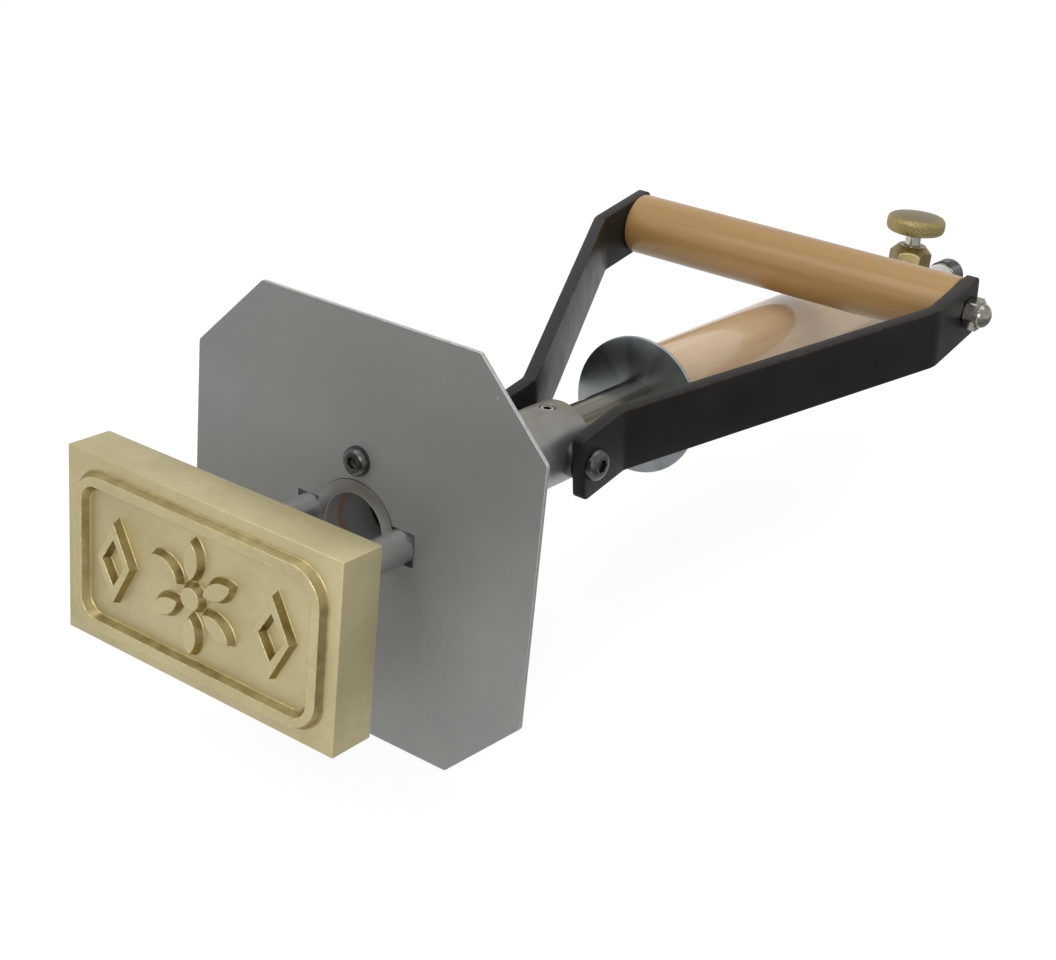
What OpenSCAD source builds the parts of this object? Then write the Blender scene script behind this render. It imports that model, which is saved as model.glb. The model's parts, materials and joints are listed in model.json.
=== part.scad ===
// Propane branding iron: a heated brass die on two rods, a shielded burner,
// an in-line wooden handle with a needle valve, and a tilting yoke handle.
// Millimetres. The origin is the centre of the branding face, on the burner's
// axis. +Y runs along the tool towards the hose, +X is the right side seen
// from the die, and +Z is up, where the valve's knob stands.

/* [Branding die] */
// Width of the die block
die_w = 116; // [104:1:130]
// Height of the die block
die_h = 65; // [60:1:75]
// Thickness of the die block behind its pattern
die_t = 17; // [15:0.5:24]
// Height of the raised pattern
relief_h = 3; // [2:0.25:4]
// Run of the pattern's sloping walls, from foot to top
relief_run = 1.2; // [0.6:0.1:1.5]
// Bare margin between the block's edge and the raised frame
margin_w = 4.5; // [3:0.5:6]
// Width of the raised frame at its foot
frame_w = 6; // [5:0.5:7]
// Corner radius of the raised frame
frame_r = 12; // [9:0.5:15]
// Number of petals in the rosette
petal_count = 6; // [5:1:8]
// Length of a petal at its foot
petal_l = 15; // [12:0.5:16]
// Width of a petal at its foot
petal_w = 8; // [6:0.5:9]
// Radius of the round land in the middle of the rosette
hub_r = 5; // [4:0.25:6]
// Gap between that land and the petals
petal_gap = 0.3; // [0.2:0.1:1]
// Height of the two lozenges beside the rosette
lozenge_h = 30; // [22:1:34]
// Width of the two lozenges beside the rosette
lozenge_w = 17; // [14:0.5:19]
// Width of a lozenge's raised line at its foot
lozenge_line = 4.6; // [4:0.2:5]

/* [Die rods] */
// Diameter of the rods that carry the die
rod_d = 12; // [10:0.5:13]
// Diameter of the threaded ends in the die
rod_stud_d = 8; // [6:0.5:9]
// Length of the threaded ends in the die
rod_stud_l = 11; // [8:0.5:13]
// Depth that the rods are let into the burner's head
rod_let_in = 4; // [3:0.25:4.5]
// Length of the rods behind the front of the shield
rod_tail = 40; // [30:1:50]

/* [Heat shield] */
// Width of the shield
shield_w = 150; // [130:1:170]
// Height of the shield
shield_h = 151; // [130:1:170]
// Thickness of the shield
shield_t = 1.5; // [1:0.25:3]
// Length cut off each corner of the shield
shield_cut = 28.75; // [20:0.25:35]
// Distance from the back of the die to the shield
shield_gap = 56; // [45:1:70]
// Gap around the rods and the burner's head in the shield
shield_clear = 0.25; // [0.2:0.05:0.4]
// Diameter of the flange that carries the shield
flange_d = 66; // [64:0.5:72]
// Thickness of that flange
flange_t = 5; // [4:0.5:8]
// Distance of the shield's screws from the axis
shield_screw_z = 24.6; // [24:0.1:26]

/* [Burner] */
// Outside diameter of the burner tube
tube_d = 21.3; // [19:0.1:24]
// Wall of the burner tube
tube_wall = 2; // [1.5:0.1:2.5]
// Wall of the holder around the tube
holder_wall = 5.35; // [4.5:0.05:7]
// Length of the holder, head included
holder_l = 120.5; // [105:0.5:140]
// Diameter of the flame's mouth
mouth_d = 25; // [24.5:0.1:26]
// Depth of the flame's mouth
mouth_l = 40; // [30:0.5:50]
// Wall of the head around the mouth
head_wall = 5.5; // [5:0.1:6]
// Length of the thicker head
head_l = 18; // [14:0.5:24]
// How far the head stands in front of the shield
head_proud = 0.5; // [0.2:0.1:1.5]
// Length of the flame head inside the mouth
flame_l = 8; // [6:0.5:12]
// Diameter of the hole in the middle of the flame head
flame_core_d = 7.5; // [6:0.5:9]
// Number of small jets around the flame head
flame_holes = 8; // [6:1:10]
// Diameter of the small jets
flame_hole_d = 3; // [2:0.25:3.5]
// Diameter of the circle that the small jets stand on
flame_ring_d = 14.5; // [14:0.25:16]
// Distance of the air ports behind the holder
port_back = 17; // [12:0.5:22]
// Diameter of the air ports
port_d = 8; // [6:0.5:9]
// Outside diameter of the gas pipe
pipe_d = 8; // [6.5:0.1:9]
// Bore of the gas pipe
pipe_bore = 5; // [4:0.1:5.5]
// Length of the gas jet
jet_l = 12; // [10:0.5:14]

/* [Guard and in-line handle] */
// Diameter of the guard disc
guard_d = 58; // [50:1:70]
// Thickness of the guard disc
guard_t = 1.5; // [1:0.25:3]
// Distance of the guard behind the holder
guard_back = 55.5; // [48:0.5:70]
// Diameter of the in-line handle
grip_d = 42; // [38:0.5:43]
// Length of the in-line handle
grip_l = 220; // [200:1:240]
// Radius on the edges of the in-line handle
grip_edge = 3; // [1:0.25:5]
// Thickness of the washer behind the handle
grip_washer_t = 2; // [1.5:0.25:3]
// Height of the nut behind the handle
grip_nut_h = 8; // [6:0.5:10]
// Width across the flats of that nut
grip_nut_af = 30; // [28:0.5:34]
// Length of the tube that shows behind that nut
tube_show = 2; // [1:0.5:6]

/* [Valve] */
// Thickness of the flange on the bush that closes the tube
bush_flange_t = 4; // [3:0.5:6]
// How far that flange stands out beyond the tube
bush_lip = 1; // [0.5:0.25:2]
// Length of that bush inside the tube
bush_l = 14; // [10:0.5:20]
// Diameter of the valve's barrel
barrel_d = 18; // [17:0.5:20]
// Length of the barrel in front of the stem
barrel_front = 24; // [20:0.5:28]
// Length of the barrel behind the stem
barrel_back = 16; // [14:0.5:20]
// Diameter of the valve's tower
tower_d = 20; // [19:0.5:22]
// Wall of the tower around the bonnet's thread
tower_wall = 3.5; // [3:0.1:4]
// Height of the tower above the axis
tower_h = 11; // [10:0.5:12]
// How far the tower's foot stands out below the barrel
tower_foot = 1; // [0.5:0.25:2]
// Width across the flats of the bonnet
bonnet_af = 19; // [17:0.5:20]
// Height of the bonnet above the tower
bonnet_h = 12.5; // [11:0.5:14]
// Turn of the bonnet's front flat to the right, in degrees
bonnet_turn = 20; // [0:5:60]
// Diameter of the stem
stem_d = 8; // [6.5:0.1:8.5]
// Length of the stem that shows between the bonnet and the knob
stem_show = 7; // [5:0.5:10]
// Diameter of the knob
knob_d = 30; // [28:0.5:36]
// Height of the knob
knob_h = 8.5; // [7:0.25:11]
// Thickness of the knob above the end of the stem
knob_floor = 2; // [1.5:0.25:3]
// Radius on the knob's edges
knob_edge = 3; // [1:0.1:3.5]
// Rise of the knob's crown above its edge
knob_crown = 1; // [0.5:0.25:2]
// How far the hose inlet lies below the tool's axis
inlet_drop = 3; // [2.5:0.25:4]
// Diameter of the smooth part of the hose inlet
inlet_d = 15; // [14.5:0.1:16]
// Length of the smooth part of the hose inlet
inlet_l = 33; // [20:0.5:36]
// Diameter over the hose inlet's thread
thread_d = 16.66; // [16.2:0.01:17]
// Length of the hose inlet's thread
thread_l = 11; // [9:0.5:16]

/* [Yoke] */
// Tilt of the yoke above the tool's axis in degrees
yoke_tilt = 11.6; // [11.3:0.1:25]
// Distance of the yoke's pivots from the back of the holder
pivot_inset = 10; // [9:0.5:14]
// Diameter of the pivot screws
pivot_d = 8; // [6:0.5:8]
// Thickness of the spacers between the holder and the arms
spacer_t = 2.5; // [1.5:0.25:4]
// Diameter of the spacers
spacer_d = 16; // [14:0.5:18]
// Depth that the spacers are let into the holder's sides
spacer_sink = 1; // [0.5:0.1:2]
// Height of the arms' flat bar
arm_h = 27; // [24:0.5:30]
// Thickness of the arms' flat bar
arm_t = 5.5; // [4:0.25:7]
// Length of the arms in front of the pivot
arm_nose = 7.5; // [7:0.25:12]
// Length of the arms from the pivot to the first bend
arm_straight = 21; // [16:0.5:26]
// Radius inside the bends
bend_r = 7; // [4:0.5:10]
// Distance of the second bend in front of the cross handle
bend_lead = 29; // [24:0.5:34]
// Length of the arms behind the cross handle
arm_tail = 9.5; // [8.5:0.25:14]
// Corner radius at the ends of the arms
arm_corner = 3; // [1:0.25:5]
// Distance from the pivot to the cross handle
cross_back = 191.6; // [185:0.1:210]
// Diameter of the cross handle
cross_d = 28; // [24:0.5:28.5]
// Length of the cross handle
cross_l = 164; // [150:1:180]
// Radius on the edges of the cross handle
cross_edge = 1.5; // [0.5:0.25:3]
// Diameter of the threaded rod through the cross handle
tie_d = 8; // [6:0.5:9]

/* [Fasteners] */
// Head diameter of the pivot screws
pivot_head_d = 13; // [12.5:0.5:15]
// Head height of the pivot screws
pivot_head_h = 3.6; // [3:0.1:5]
// Width across the flats of the sockets in the pivot screws
pivot_key_af = 5; // [4:0.5:6]
// Diameter of the shield's screws
shield_screw_d = 6; // [5:0.5:6]
// Head diameter of the shield's screws
shield_head_d = 10.5; // [9.5:0.5:11]
// Head height of the shield's screws
shield_head_h = 3.3; // [2.5:0.1:4]
// Width across the flats of the sockets in the shield's screws
shield_key_af = 4; // [3:0.5:4.5]
// Diameter of the set screw in the holder
set_screw_d = 6; // [5:0.5:8]
// Width across the flats of the socket in that screw
set_key_af = 3; // [2:0.5:3.5]
// How far that screw lies below the holder's surface
set_sunk = 0.6; // [0.3:0.1:1.5]
// Diameter of the set screw in the knob
knob_screw_d = 4; // [3:0.5:4]
// Width across the flats of the socket in that screw
knob_key_af = 2; // [1.5:0.5:2.5]
// Width across the flats of the nuts on the cross handle's rod
tie_nut_af = 13; // [12.5:0.5:14]
// Height of the hexagon of those nuts
tie_nut_h = 6; // [5:0.25:8]
// Diameter of the dome on those nuts
tie_dome_d = 11; // [9:0.5:12]
// Height of that dome
tie_dome_h = 4.5; // [3:0.25:6]

/* [Fits] */
// Clearance between fixed round pieces
seat_clear = 0.05; // [0.03:0.01:0.1]
// Clearance between turning or sliding round pieces
run_clear = 0.06; // [0.03:0.01:0.09]
// Play between flat faces that slide on each other
face_play = 0.12; // [0.05:0.01:0.25]

/* [Hidden] */
$fn = 64;
// Sides of a hexagon and steps along a rounded edge
HEX = 6;
ARC_STEPS = 8;
// Overlap that lets a cut pass right through a face
CUT = 1;
// Slope in degrees of the bevels on hexagons
HEX_BEVEL = 30;
// Flat land around the socket of a button-head screw, and the straight edge of its head
HEAD_LAND = 0.7;
HEAD_RIM = 0.5;
// Depth of a socket as a share of the head's height, or of a set screw's diameter
KEY_SHARE = 0.6;

brass = [0.72, 0.64, 0.42];
steel = [0.50, 0.50, 0.49];
zinc = [0.62, 0.65, 0.66];
black = [0.10, 0.10, 0.11];
beech = [0.76, 0.60, 0.40];
chrome = [0.80, 0.80, 0.80];
copper = [0.72, 0.45, 0.30];
graphite = [0.25, 0.25, 0.27];

// Radii
tube_r = tube_d / 2;
tube_in_r = tube_r - tube_wall;
holder_r = tube_r + holder_wall;
mouth_r = mouth_d / 2;
head_r = mouth_r + head_wall;
rod_r = rod_d / 2;
pipe_r = pipe_d / 2;
stem_r = stem_d / 2;
knob_r = knob_d / 2;
pivot_r = pivot_d / 2;
tie_r = tie_d / 2;
cross_r = cross_d / 2;
grip_r = grip_d / 2;

// Stations along the tool, from the branding face to the hose
die_back = relief_h + die_t;
shield_y = die_back + shield_gap;
shield_back = shield_y + shield_t;
mouth_y = shield_y - head_proud;
holder_back = mouth_y + holder_l;
tube_y = mouth_y + mouth_l;
pivot_y = holder_back - pivot_inset;
port_y = holder_back + port_back;
guard_y = holder_back + guard_back;
grip_y = guard_y + guard_t;
grip_back = grip_y + grip_l;
nut_y = grip_back + grip_washer_t;
tube_back = nut_y + grip_nut_h + tube_show;
barrel_y = tube_back + bush_flange_t;
valve_y = barrel_y + barrel_front;
barrel_end = valve_y + barrel_back;
thread_y = barrel_end + inlet_l;
inlet_end = thread_y + thread_l;

// Places across the tool
rod_x = head_r + rod_r - rod_let_in;
slot_x = rod_x + rod_r + shield_clear;
slot_z = rod_r + shield_clear;
arm_in = holder_r + spacer_t + face_play;
arm_out = arm_in + arm_t;
spacer_x = holder_r - spacer_sink;
cross_x = cross_l / 2;
nut_x = cross_x + arm_t;
bend_u = cross_back - bend_lead;
arm_end_u = cross_back + arm_tail;
arm_flare = atan((cross_x - arm_in) / (bend_u - arm_straight));

// Heights of the valve's pieces above the axis
bonnet_top = tower_h + bonnet_h;
knob_z = bonnet_top + stem_show;
stem_top = knob_z + knob_h - knob_floor;
// Bore of the tower, where the bonnet is screwed in, and its floor above the axis
tower_bore_r = tower_d / 2 - tower_wall;
tower_floor = 3;
// Packing ring around the stem, in the bonnet
packing_t = 1.8;
packing_h = 3;
packing_z = tower_h + bonnet_h / 2;
// Flat land around the stem on top of the bonnet's cone
bonnet_land_r = stem_r + 1;
// Gas way through the valve, its outlet above the floor, and the room between floor and bonnet
gas_way_r = 2;
outlet_r = 1.2;
outlet_rise = 0.3;
seat_room = 3;
bonnet_z = tower_floor + seat_room;
// The needle's tip, which closes the gas way at the seat
tip_r = 0.6;
tip_drop = 1;
tip_z = tower_floor - tip_drop;
needle_l = tip_drop * (stem_r - tip_r) / (gas_way_r - seat_clear - tip_r);
// Threaded spigot of the hose inlet
spigot_r = 5.5;
spigot_l = 10;
// Seat cone in the inlet's mouth, and the bevel at the start of its thread
inlet_cone_l = 5.5;
thread_lead = 1;
// Angles of the air ports around the tube, counted from straight down
port_angles = [-60, 0, 60];
// Gas jet and its spider in the burner tube
jet_behind = 1;
jet_y = port_y + port_d / 2 + jet_behind;
jet_wall = 1.5;
jet_socket = 4;
orifice_r = 0.5;
spider_back = 9;
spider_y = jet_y + jet_l + spider_back;
spider_t = 4;
spider_arm = 2.5;
spider_arms = 4;
pipe_y = jet_y + jet_l - jet_socket;
pipe_socket = 12;
pipe_end = barrel_y + pipe_socket;
pipe_gap = 2;

// Points on an arc of radius r around c, from angle a to angle b
function arc(c, r, a, b) =
    [for (i = [0:ARC_STEPS]) let (t = a + (b - a) * i / ARC_STEPS) c + r * [cos(t), sin(t)]];

// Outline of a w by h rectangle with round corners
function round_rect(w, h, r) = concat(
    arc([w / 2 - r, h / 2 - r], r, 0, 90), arc([r - w / 2, h / 2 - r], r, 90, 180),
    arc([r - w / 2, r - h / 2], r, 180, 270), arc([w / 2 - r, r - h / 2], r, 270, 360));

// Half outline of a turned bar of radius r and length l with rounded edges
function bar_profile(r, l, edge) = concat([[0, 0]], arc([r - edge, edge], edge, -90, 0),
    arc([r - edge, l - edge], edge, 0, 90), [[0, l]]);

// Pointed petal with its ends at y = 0 and y = l
function petal_outline(l, w) =
    let (
        r = (l * l + w * w) / (4 * w),
        half = asin(l / (2 * r))
    )
    concat(
        arc([w / 2 - r, l / 2], r, -half, half),
        arc([r - w / 2, l / 2], r, 180 - half, 180 + half));

function diamond(w, h) = [[w / 2, 0], [0, h / 2], [-w / 2, 0], [0, -h / 2]];

module along_x(x = 0) { translate([x, 0, 0]) rotate([0, 90, 0]) children(); }
module along_y(y = 0) { translate([0, y, 0]) rotate([-90, 0, 0]) children(); }
module both_sides() {
    children();
    mirror([1, 0, 0]) children();
}

// Pipe along Y between two stations
module pipe_y_solid(from, to, r_out, r_in) {
    along_y(from) difference() {
        cylinder(r = r_out, h = to - from);
        translate([0, 0, -CUT]) cylinder(r = r_in, h = to - from + 2 * CUT);
    }
}

// Hexagonal prism by its width across the flats
module hex_bar(af, h) { cylinder(d = af / cos(180 / HEX), h = h, $fn = HEX); }

// Hexagonal bar with its upper end turned down to a flat land
module hex_bevelled(af, h, land_r) {
    corner_r = af / 2 / cos(180 / HEX);
    drop = (corner_r - land_r) * tan(HEX_BEVEL);
    intersection() {
        hex_bar(af, h);
        rotate_extrude() polygon([[0, 0], [corner_r, 0], [corner_r, h - drop], [land_r, h], [0, h]]);
    }
}

// Hexagonal bar with the corners of both ends turned down
module hex_blank(af, h) {
    intersection() {
        hex_bevelled(af, h, af / 2);
        translate([0, 0, h]) mirror([0, 0, 1]) hex_bevelled(af, h, af / 2);
    }
}

// Hexagonal nut with both ends turned down, around a bore
module hex_nut(af, h, bore_r) {
    difference() {
        hex_blank(af, h);
        translate([0, 0, -CUT]) cylinder(r = bore_r, h = h + 2 * CUT);
    }
}

// Cap nut: a hexagon with a blind bore and a dome over it
module cap_nut(af, h, dome_r, dome_h, bore_r) {
    difference() {
        union() {
            hex_blank(af, h);
            rotate_extrude() polygon(concat([[0, 0], [dome_r, 0]], [for (i = [0:ARC_STEPS])
                let (a = 90 * i / ARC_STEPS) [dome_r * cos(a), h + dome_h * sin(a)]]));
        }
        translate([0, 0, -CUT]) cylinder(r = bore_r, h = h + CUT);
    }
}

// Button-head screw: its head stands up from z = 0, and its shank hangs below
module button_screw(d, head_d, head_h, key_af, shank) {
    crown_r = key_af / 2 / cos(180 / HEX) + HEAD_LAND;
    bulge = [head_d / 2 - crown_r, head_h - HEAD_RIM];
    difference() {
        union() {
            rotate_extrude() polygon(concat([[0, 0], [head_d / 2, 0]],
                [for (i = [0:ARC_STEPS]) let (a = 90 * i / ARC_STEPS)
                    [crown_r + bulge[0] * cos(a), HEAD_RIM + bulge[1] * sin(a)]], [[0, head_h]]));
            translate([0, 0, -shank]) cylinder(d = d, h = shank);
        }
        translate([0, 0, head_h * (1 - KEY_SHARE)]) hex_bar(key_af, head_h);
    }
}

// Headless screw with a hexagon socket in its upper end
module set_screw(d, l, key_af) {
    difference() {
        cylinder(d = d, h = l);
        translate([0, 0, l - d * KEY_SHARE]) hex_bar(key_af, d);
    }
}

// Raised land with sloping walls, standing on the die's field towards -Y
module land(w, h) {
    taper = [1 - 2 * relief_run / w, 1 - 2 * relief_run / h];
    along_y(relief_h) mirror([0, 0, 1]) {
        translate([0, 0, -CUT / 2]) linear_extrude(height = CUT / 2) children();
        linear_extrude(height = relief_h, slices = 1, scale = taper) children();
    }
}

// Space inside a raised line, widening towards the branding face
module land_hollow(w, h) {
    grow = [1 + 2 * relief_run / w, 1 + 2 * relief_run / h];
    along_y(relief_h) mirror([0, 0, 1])
        linear_extrude(height = relief_h, slices = 1, scale = grow) children();
    along_y(-CUT) linear_extrude(height = CUT) scale(grow) children();
}

module raised_frame() {
    w = die_w - 2 * margin_w;
    h = die_h - 2 * margin_w;
    inner_w = w - 2 * frame_w;
    inner_h = h - 2 * frame_w;
    difference() {
        land(w, h) polygon(round_rect(w, h, frame_r));
        land_hollow(inner_w, inner_h) polygon(round_rect(inner_w, inner_h, frame_r - frame_w));
    }
}

module rosette() {
    petal_start = hub_r + petal_gap;
    along_y() cylinder(r1 = hub_r - relief_run, r2 = hub_r, h = relief_h + CUT / 2);
    for (i = [0:petal_count - 1])
        rotate([0, i * 360 / petal_count, 0]) translate([0, 0, petal_start + petal_l / 2])
            land(petal_w, petal_l) translate([0, -petal_l / 2]) polygon(petal_outline(petal_l, petal_w));
}

module lozenge() {
    hole_w = lozenge_w - 2 * lozenge_line;
    hole_h = hole_w * lozenge_h / lozenge_w;
    difference() {
        land(lozenge_w, lozenge_h) polygon(diamond(lozenge_w, lozenge_h));
        land_hollow(hole_w, hole_h) polygon(diamond(hole_w, hole_h));
    }
}

module brand_die() {
    rosette_r = hub_r + petal_gap + petal_l;
    frame_in = die_w / 2 - margin_w - frame_w;
    color(brass) difference() {
        union() {
            translate([-die_w / 2, relief_h, -die_h / 2]) cube([die_w, die_t, die_h]);
            raised_frame();
            rosette();
            both_sides() translate([(rosette_r + frame_in) / 2, 0, 0]) lozenge();
        }
        both_sides() translate([rod_x, 0, 0]) along_y(die_back - rod_stud_l - CUT)
            cylinder(r = rod_stud_d / 2 + seat_clear, h = rod_stud_l + 2 * CUT);
    }
}

module die_rod() {
    along_y(die_back - rod_stud_l) cylinder(d = rod_stud_d, h = rod_stud_l);
    along_y(die_back) cylinder(r = rod_r, h = shield_gap + rod_tail);
}
module die_rod_left() { color(steel) translate([-rod_x, 0, 0]) die_rod(); }
module die_rod_right() { color(steel) translate([rod_x, 0, 0]) die_rod(); }

// Opening for the burner's head and the two rods, through a plate
module head_opening(head_clear, from, to) {
    along_y(from - CUT) cylinder(r = head_r + head_clear, h = to - from + 2 * CUT);
    translate([-slot_x, from - CUT, -slot_z]) cube([2 * slot_x, to - from + 2 * CUT, 2 * slot_z]);
}

module shield_screw_places() { for (z = [-1, 1]) translate([0, 0, z * shield_screw_z]) children(); }

module heat_shield() {
    w = shield_w / 2;
    h = shield_h / 2;
    k = shield_cut;
    outline = [[w, h - k], [w - k, h], [k - w, h], [-w, h - k],
        [-w, k - h], [k - w, -h], [w - k, -h], [w, k - h]];
    color(steel) difference() {
        along_y(shield_y) linear_extrude(height = shield_t) polygon(outline);
        head_opening(shield_clear, shield_y, shield_back);
        shield_screw_places() along_y(shield_y - CUT)
            cylinder(r = shield_screw_d / 2 + shield_clear, h = shield_t + 2 * CUT);
    }
}

module shield_flange() {
    color(steel) difference() {
        along_y(shield_back) cylinder(d = flange_d, h = flange_t);
        head_opening(seat_clear, shield_back, shield_back + flange_t);
        shield_screw_places() along_y(shield_back - CUT)
            cylinder(r = shield_screw_d / 2 + seat_clear, h = flange_t + 2 * CUT);
    }
}

module shield_screws() {
    color(graphite) shield_screw_places() along_y(shield_y) mirror([0, 0, 1])
        button_screw(shield_screw_d, shield_head_d, shield_head_h, shield_key_af, shield_t + flange_t);
}

module burner_holder() {
    color(steel) difference() {
        union() {
            along_y(mouth_y) cylinder(r = head_r, h = head_l);
            along_y(mouth_y) cylinder(r = holder_r, h = holder_l);
        }
        along_y(mouth_y - CUT) cylinder(r = mouth_r, h = mouth_l + CUT);
        along_y(mouth_y) cylinder(r = tube_r + seat_clear, h = holder_l + CUT);
        both_sides() translate([rod_x, 0, 0]) along_y(mouth_y - CUT)
            cylinder(r = rod_r + seat_clear, h = head_proud + rod_tail + CUT);
        translate([0, pivot_y, 0]) {
            cylinder(r = set_screw_d / 2 + seat_clear, h = holder_r + CUT);
            both_sides() along_x() cylinder(r = pivot_r + seat_clear, h = holder_r + CUT);
            both_sides() along_x(spacer_x) cylinder(r = spacer_d / 2 + seat_clear, h = holder_r);
        }
    }
}

module holder_set_screw() {
    color(zinc) translate([0, pivot_y, tube_r + seat_clear])
        set_screw(set_screw_d, holder_wall - seat_clear - set_sunk, set_key_af);
}

module flame_head() {
    color(steel) along_y(tube_y - flame_l) difference() {
        cylinder(r = mouth_r - seat_clear, h = flame_l);
        translate([0, 0, -CUT]) cylinder(d = flame_core_d, h = flame_l + 2 * CUT);
        for (i = [0:flame_holes - 1]) rotate(i * 360 / flame_holes) translate([flame_ring_d / 2, 0, -CUT])
            cylinder(d = flame_hole_d, h = flame_l + 2 * CUT);
    }
}

module burner_tube() {
    color(zinc) difference() {
        pipe_y_solid(tube_y, tube_back, tube_r, tube_in_r);
        for (a = port_angles) translate([0, port_y, 0]) rotate([0, a, 0]) rotate([180, 0, 0])
            cylinder(d = port_d, h = tube_r + CUT);
    }
}

module gas_pipe() { color(copper) pipe_y_solid(pipe_y, pipe_end, pipe_r, pipe_bore / 2); }

module gas_jet() {
    r = pipe_r + jet_wall;
    nose = jet_l / 3;
    color(brass) along_y(jet_y) difference() {
        rotate_extrude() polygon([[0, 0], [r / 2, 0], [r, nose], [r, jet_l], [0, jet_l]]);
        translate([0, 0, -CUT]) cylinder(r = orifice_r, h = jet_l + CUT);
        translate([0, 0, nose]) cylinder(r = pipe_bore / 2, h = jet_l);
        translate([0, 0, jet_l - jet_socket]) cylinder(r = pipe_r + seat_clear, h = jet_socket + CUT);
    }
}

module jet_spider() {
    hub = pipe_r + jet_wall;
    reach = sqrt(pow(tube_in_r - seat_clear, 2) - pow(spider_arm / 2, 2));
    color(brass) along_y(spider_y) difference() {
        union() {
            cylinder(r = hub, h = spider_t);
            for (i = [0:spider_arms - 1]) rotate(i * 360 / spider_arms)
                translate([0, -spider_arm / 2, 0]) cube([reach, spider_arm, spider_t]);
        }
        translate([0, 0, -CUT]) cylinder(r = pipe_r + seat_clear, h = spider_t + 2 * CUT);
    }
}

module guard_disc() { color(zinc) pipe_y_solid(guard_y, grip_y, guard_d / 2, tube_r + seat_clear); }

module inline_handle() {
    color(beech) along_y(grip_y) difference() {
        rotate_extrude() polygon(bar_profile(grip_r, grip_l, grip_edge));
        translate([0, 0, -CUT]) cylinder(r = tube_r + seat_clear, h = grip_l + 2 * CUT);
    }
}

module handle_washer() {
    color(zinc) pipe_y_solid(grip_back, nut_y, grip_r - grip_edge, tube_r + seat_clear);
}

module handle_nut() { color(zinc) along_y(nut_y) hex_nut(grip_nut_af, grip_nut_h, tube_r + seat_clear); }

module tube_bush() {
    total = bush_l + bush_flange_t;
    color(brass) along_y(tube_back - bush_l) difference() {
        union() {
            cylinder(r = tube_in_r - seat_clear, h = total);
            translate([0, 0, bush_l]) cylinder(r = tube_r + bush_lip, h = bush_flange_t);
        }
        translate([0, 0, -CUT]) cylinder(r = pipe_r + seat_clear, h = total + 2 * CUT);
    }
}

// The gas comes in low at the back, rises through the needle's seat and leaves to the front
module valve_body() {
    foot_z = -inlet_drop - barrel_d / 2 - tower_foot;
    color(brass) difference() {
        union() {
            along_y(barrel_y) cylinder(d = barrel_d, h = barrel_front);
            translate([0, 0, -inlet_drop]) along_y(valve_y) cylinder(d = barrel_d, h = barrel_back);
            translate([0, valve_y, foot_z]) cylinder(d = tower_d, h = tower_h - foot_z);
        }
        along_y(barrel_y - CUT) cylinder(r = pipe_r + seat_clear, h = pipe_socket + pipe_gap + CUT);
        translate([0, 0, tower_floor + outlet_rise + outlet_r]) along_y(pipe_end)
            cylinder(r = outlet_r, h = valve_y - pipe_end);
        translate([0, valve_y, tower_floor]) cylinder(r = tower_bore_r + seat_clear, h = tower_h);
        translate([0, 0, -inlet_drop]) {
            translate([0, valve_y, 0]) cylinder(r = gas_way_r, h = tower_h);
            along_y(valve_y) cylinder(r = gas_way_r, h = barrel_back);
            along_y(barrel_end - spigot_l) cylinder(r = spigot_r + seat_clear, h = spigot_l + CUT);
        }
    }
}

module valve_bonnet() {
    color(brass) translate([0, valve_y, 0]) difference() {
        union() {
            translate([0, 0, tower_h]) rotate(bonnet_turn)
                hex_bevelled(bonnet_af, bonnet_h, bonnet_land_r);
            translate([0, 0, bonnet_z]) cylinder(r = tower_bore_r, h = tower_h - bonnet_z);
        }
        translate([0, 0, bonnet_z - CUT])
            cylinder(r = stem_r + run_clear, h = bonnet_top - bonnet_z + 2 * CUT);
        translate([0, 0, packing_z]) cylinder(r = stem_r + packing_t, h = packing_h);
    }
}

module gland_packing() {
    color(graphite) translate([0, valve_y, packing_z]) difference() {
        cylinder(r = stem_r + packing_t - seat_clear, h = packing_h);
        translate([0, 0, -CUT]) cylinder(r = stem_r + run_clear, h = packing_h + 2 * CUT);
    }
}

module valve_stem() {
    color(chrome) translate([0, valve_y, 0]) rotate_extrude()
        polygon([[0, tip_z], [tip_r, tip_z], [stem_r, tip_z + needle_l],
            [stem_r, stem_top], [0, stem_top]]);
}

// The arc of the crown goes on from the arc of the edge without a corner
module valve_knob() {
    flat_r = knob_r - knob_edge;
    crown_r = (flat_r * flat_r + knob_crown * knob_crown) / (2 * knob_crown) + knob_edge;
    lean = 90 - asin(flat_r / (crown_r - knob_edge));
    color(brass) translate([0, valve_y, knob_z]) difference() {
        rotate_extrude() polygon(concat([[0, 0]],
            arc([flat_r, knob_edge], knob_edge, -90, 0),
            arc([flat_r, knob_h - knob_edge], knob_edge, 0, lean),
            arc([0, knob_h + knob_crown - crown_r], crown_r, lean, 90)));
        translate([0, 0, -CUT]) cylinder(r = stem_r + run_clear, h = knob_h - knob_floor + face_play + CUT);
        translate([0, 0, knob_h / 2]) rotate([-90, 0, 0])
            cylinder(r = knob_screw_d / 2 + seat_clear, h = knob_d);
    }
}

module knob_set_screw() {
    inner = stem_r + run_clear;
    color(graphite) translate([0, valve_y + inner, knob_z + knob_h / 2]) rotate([-90, 0, 0])
        set_screw(knob_screw_d, knob_r - knob_edge - inner, knob_key_af);
}

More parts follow.
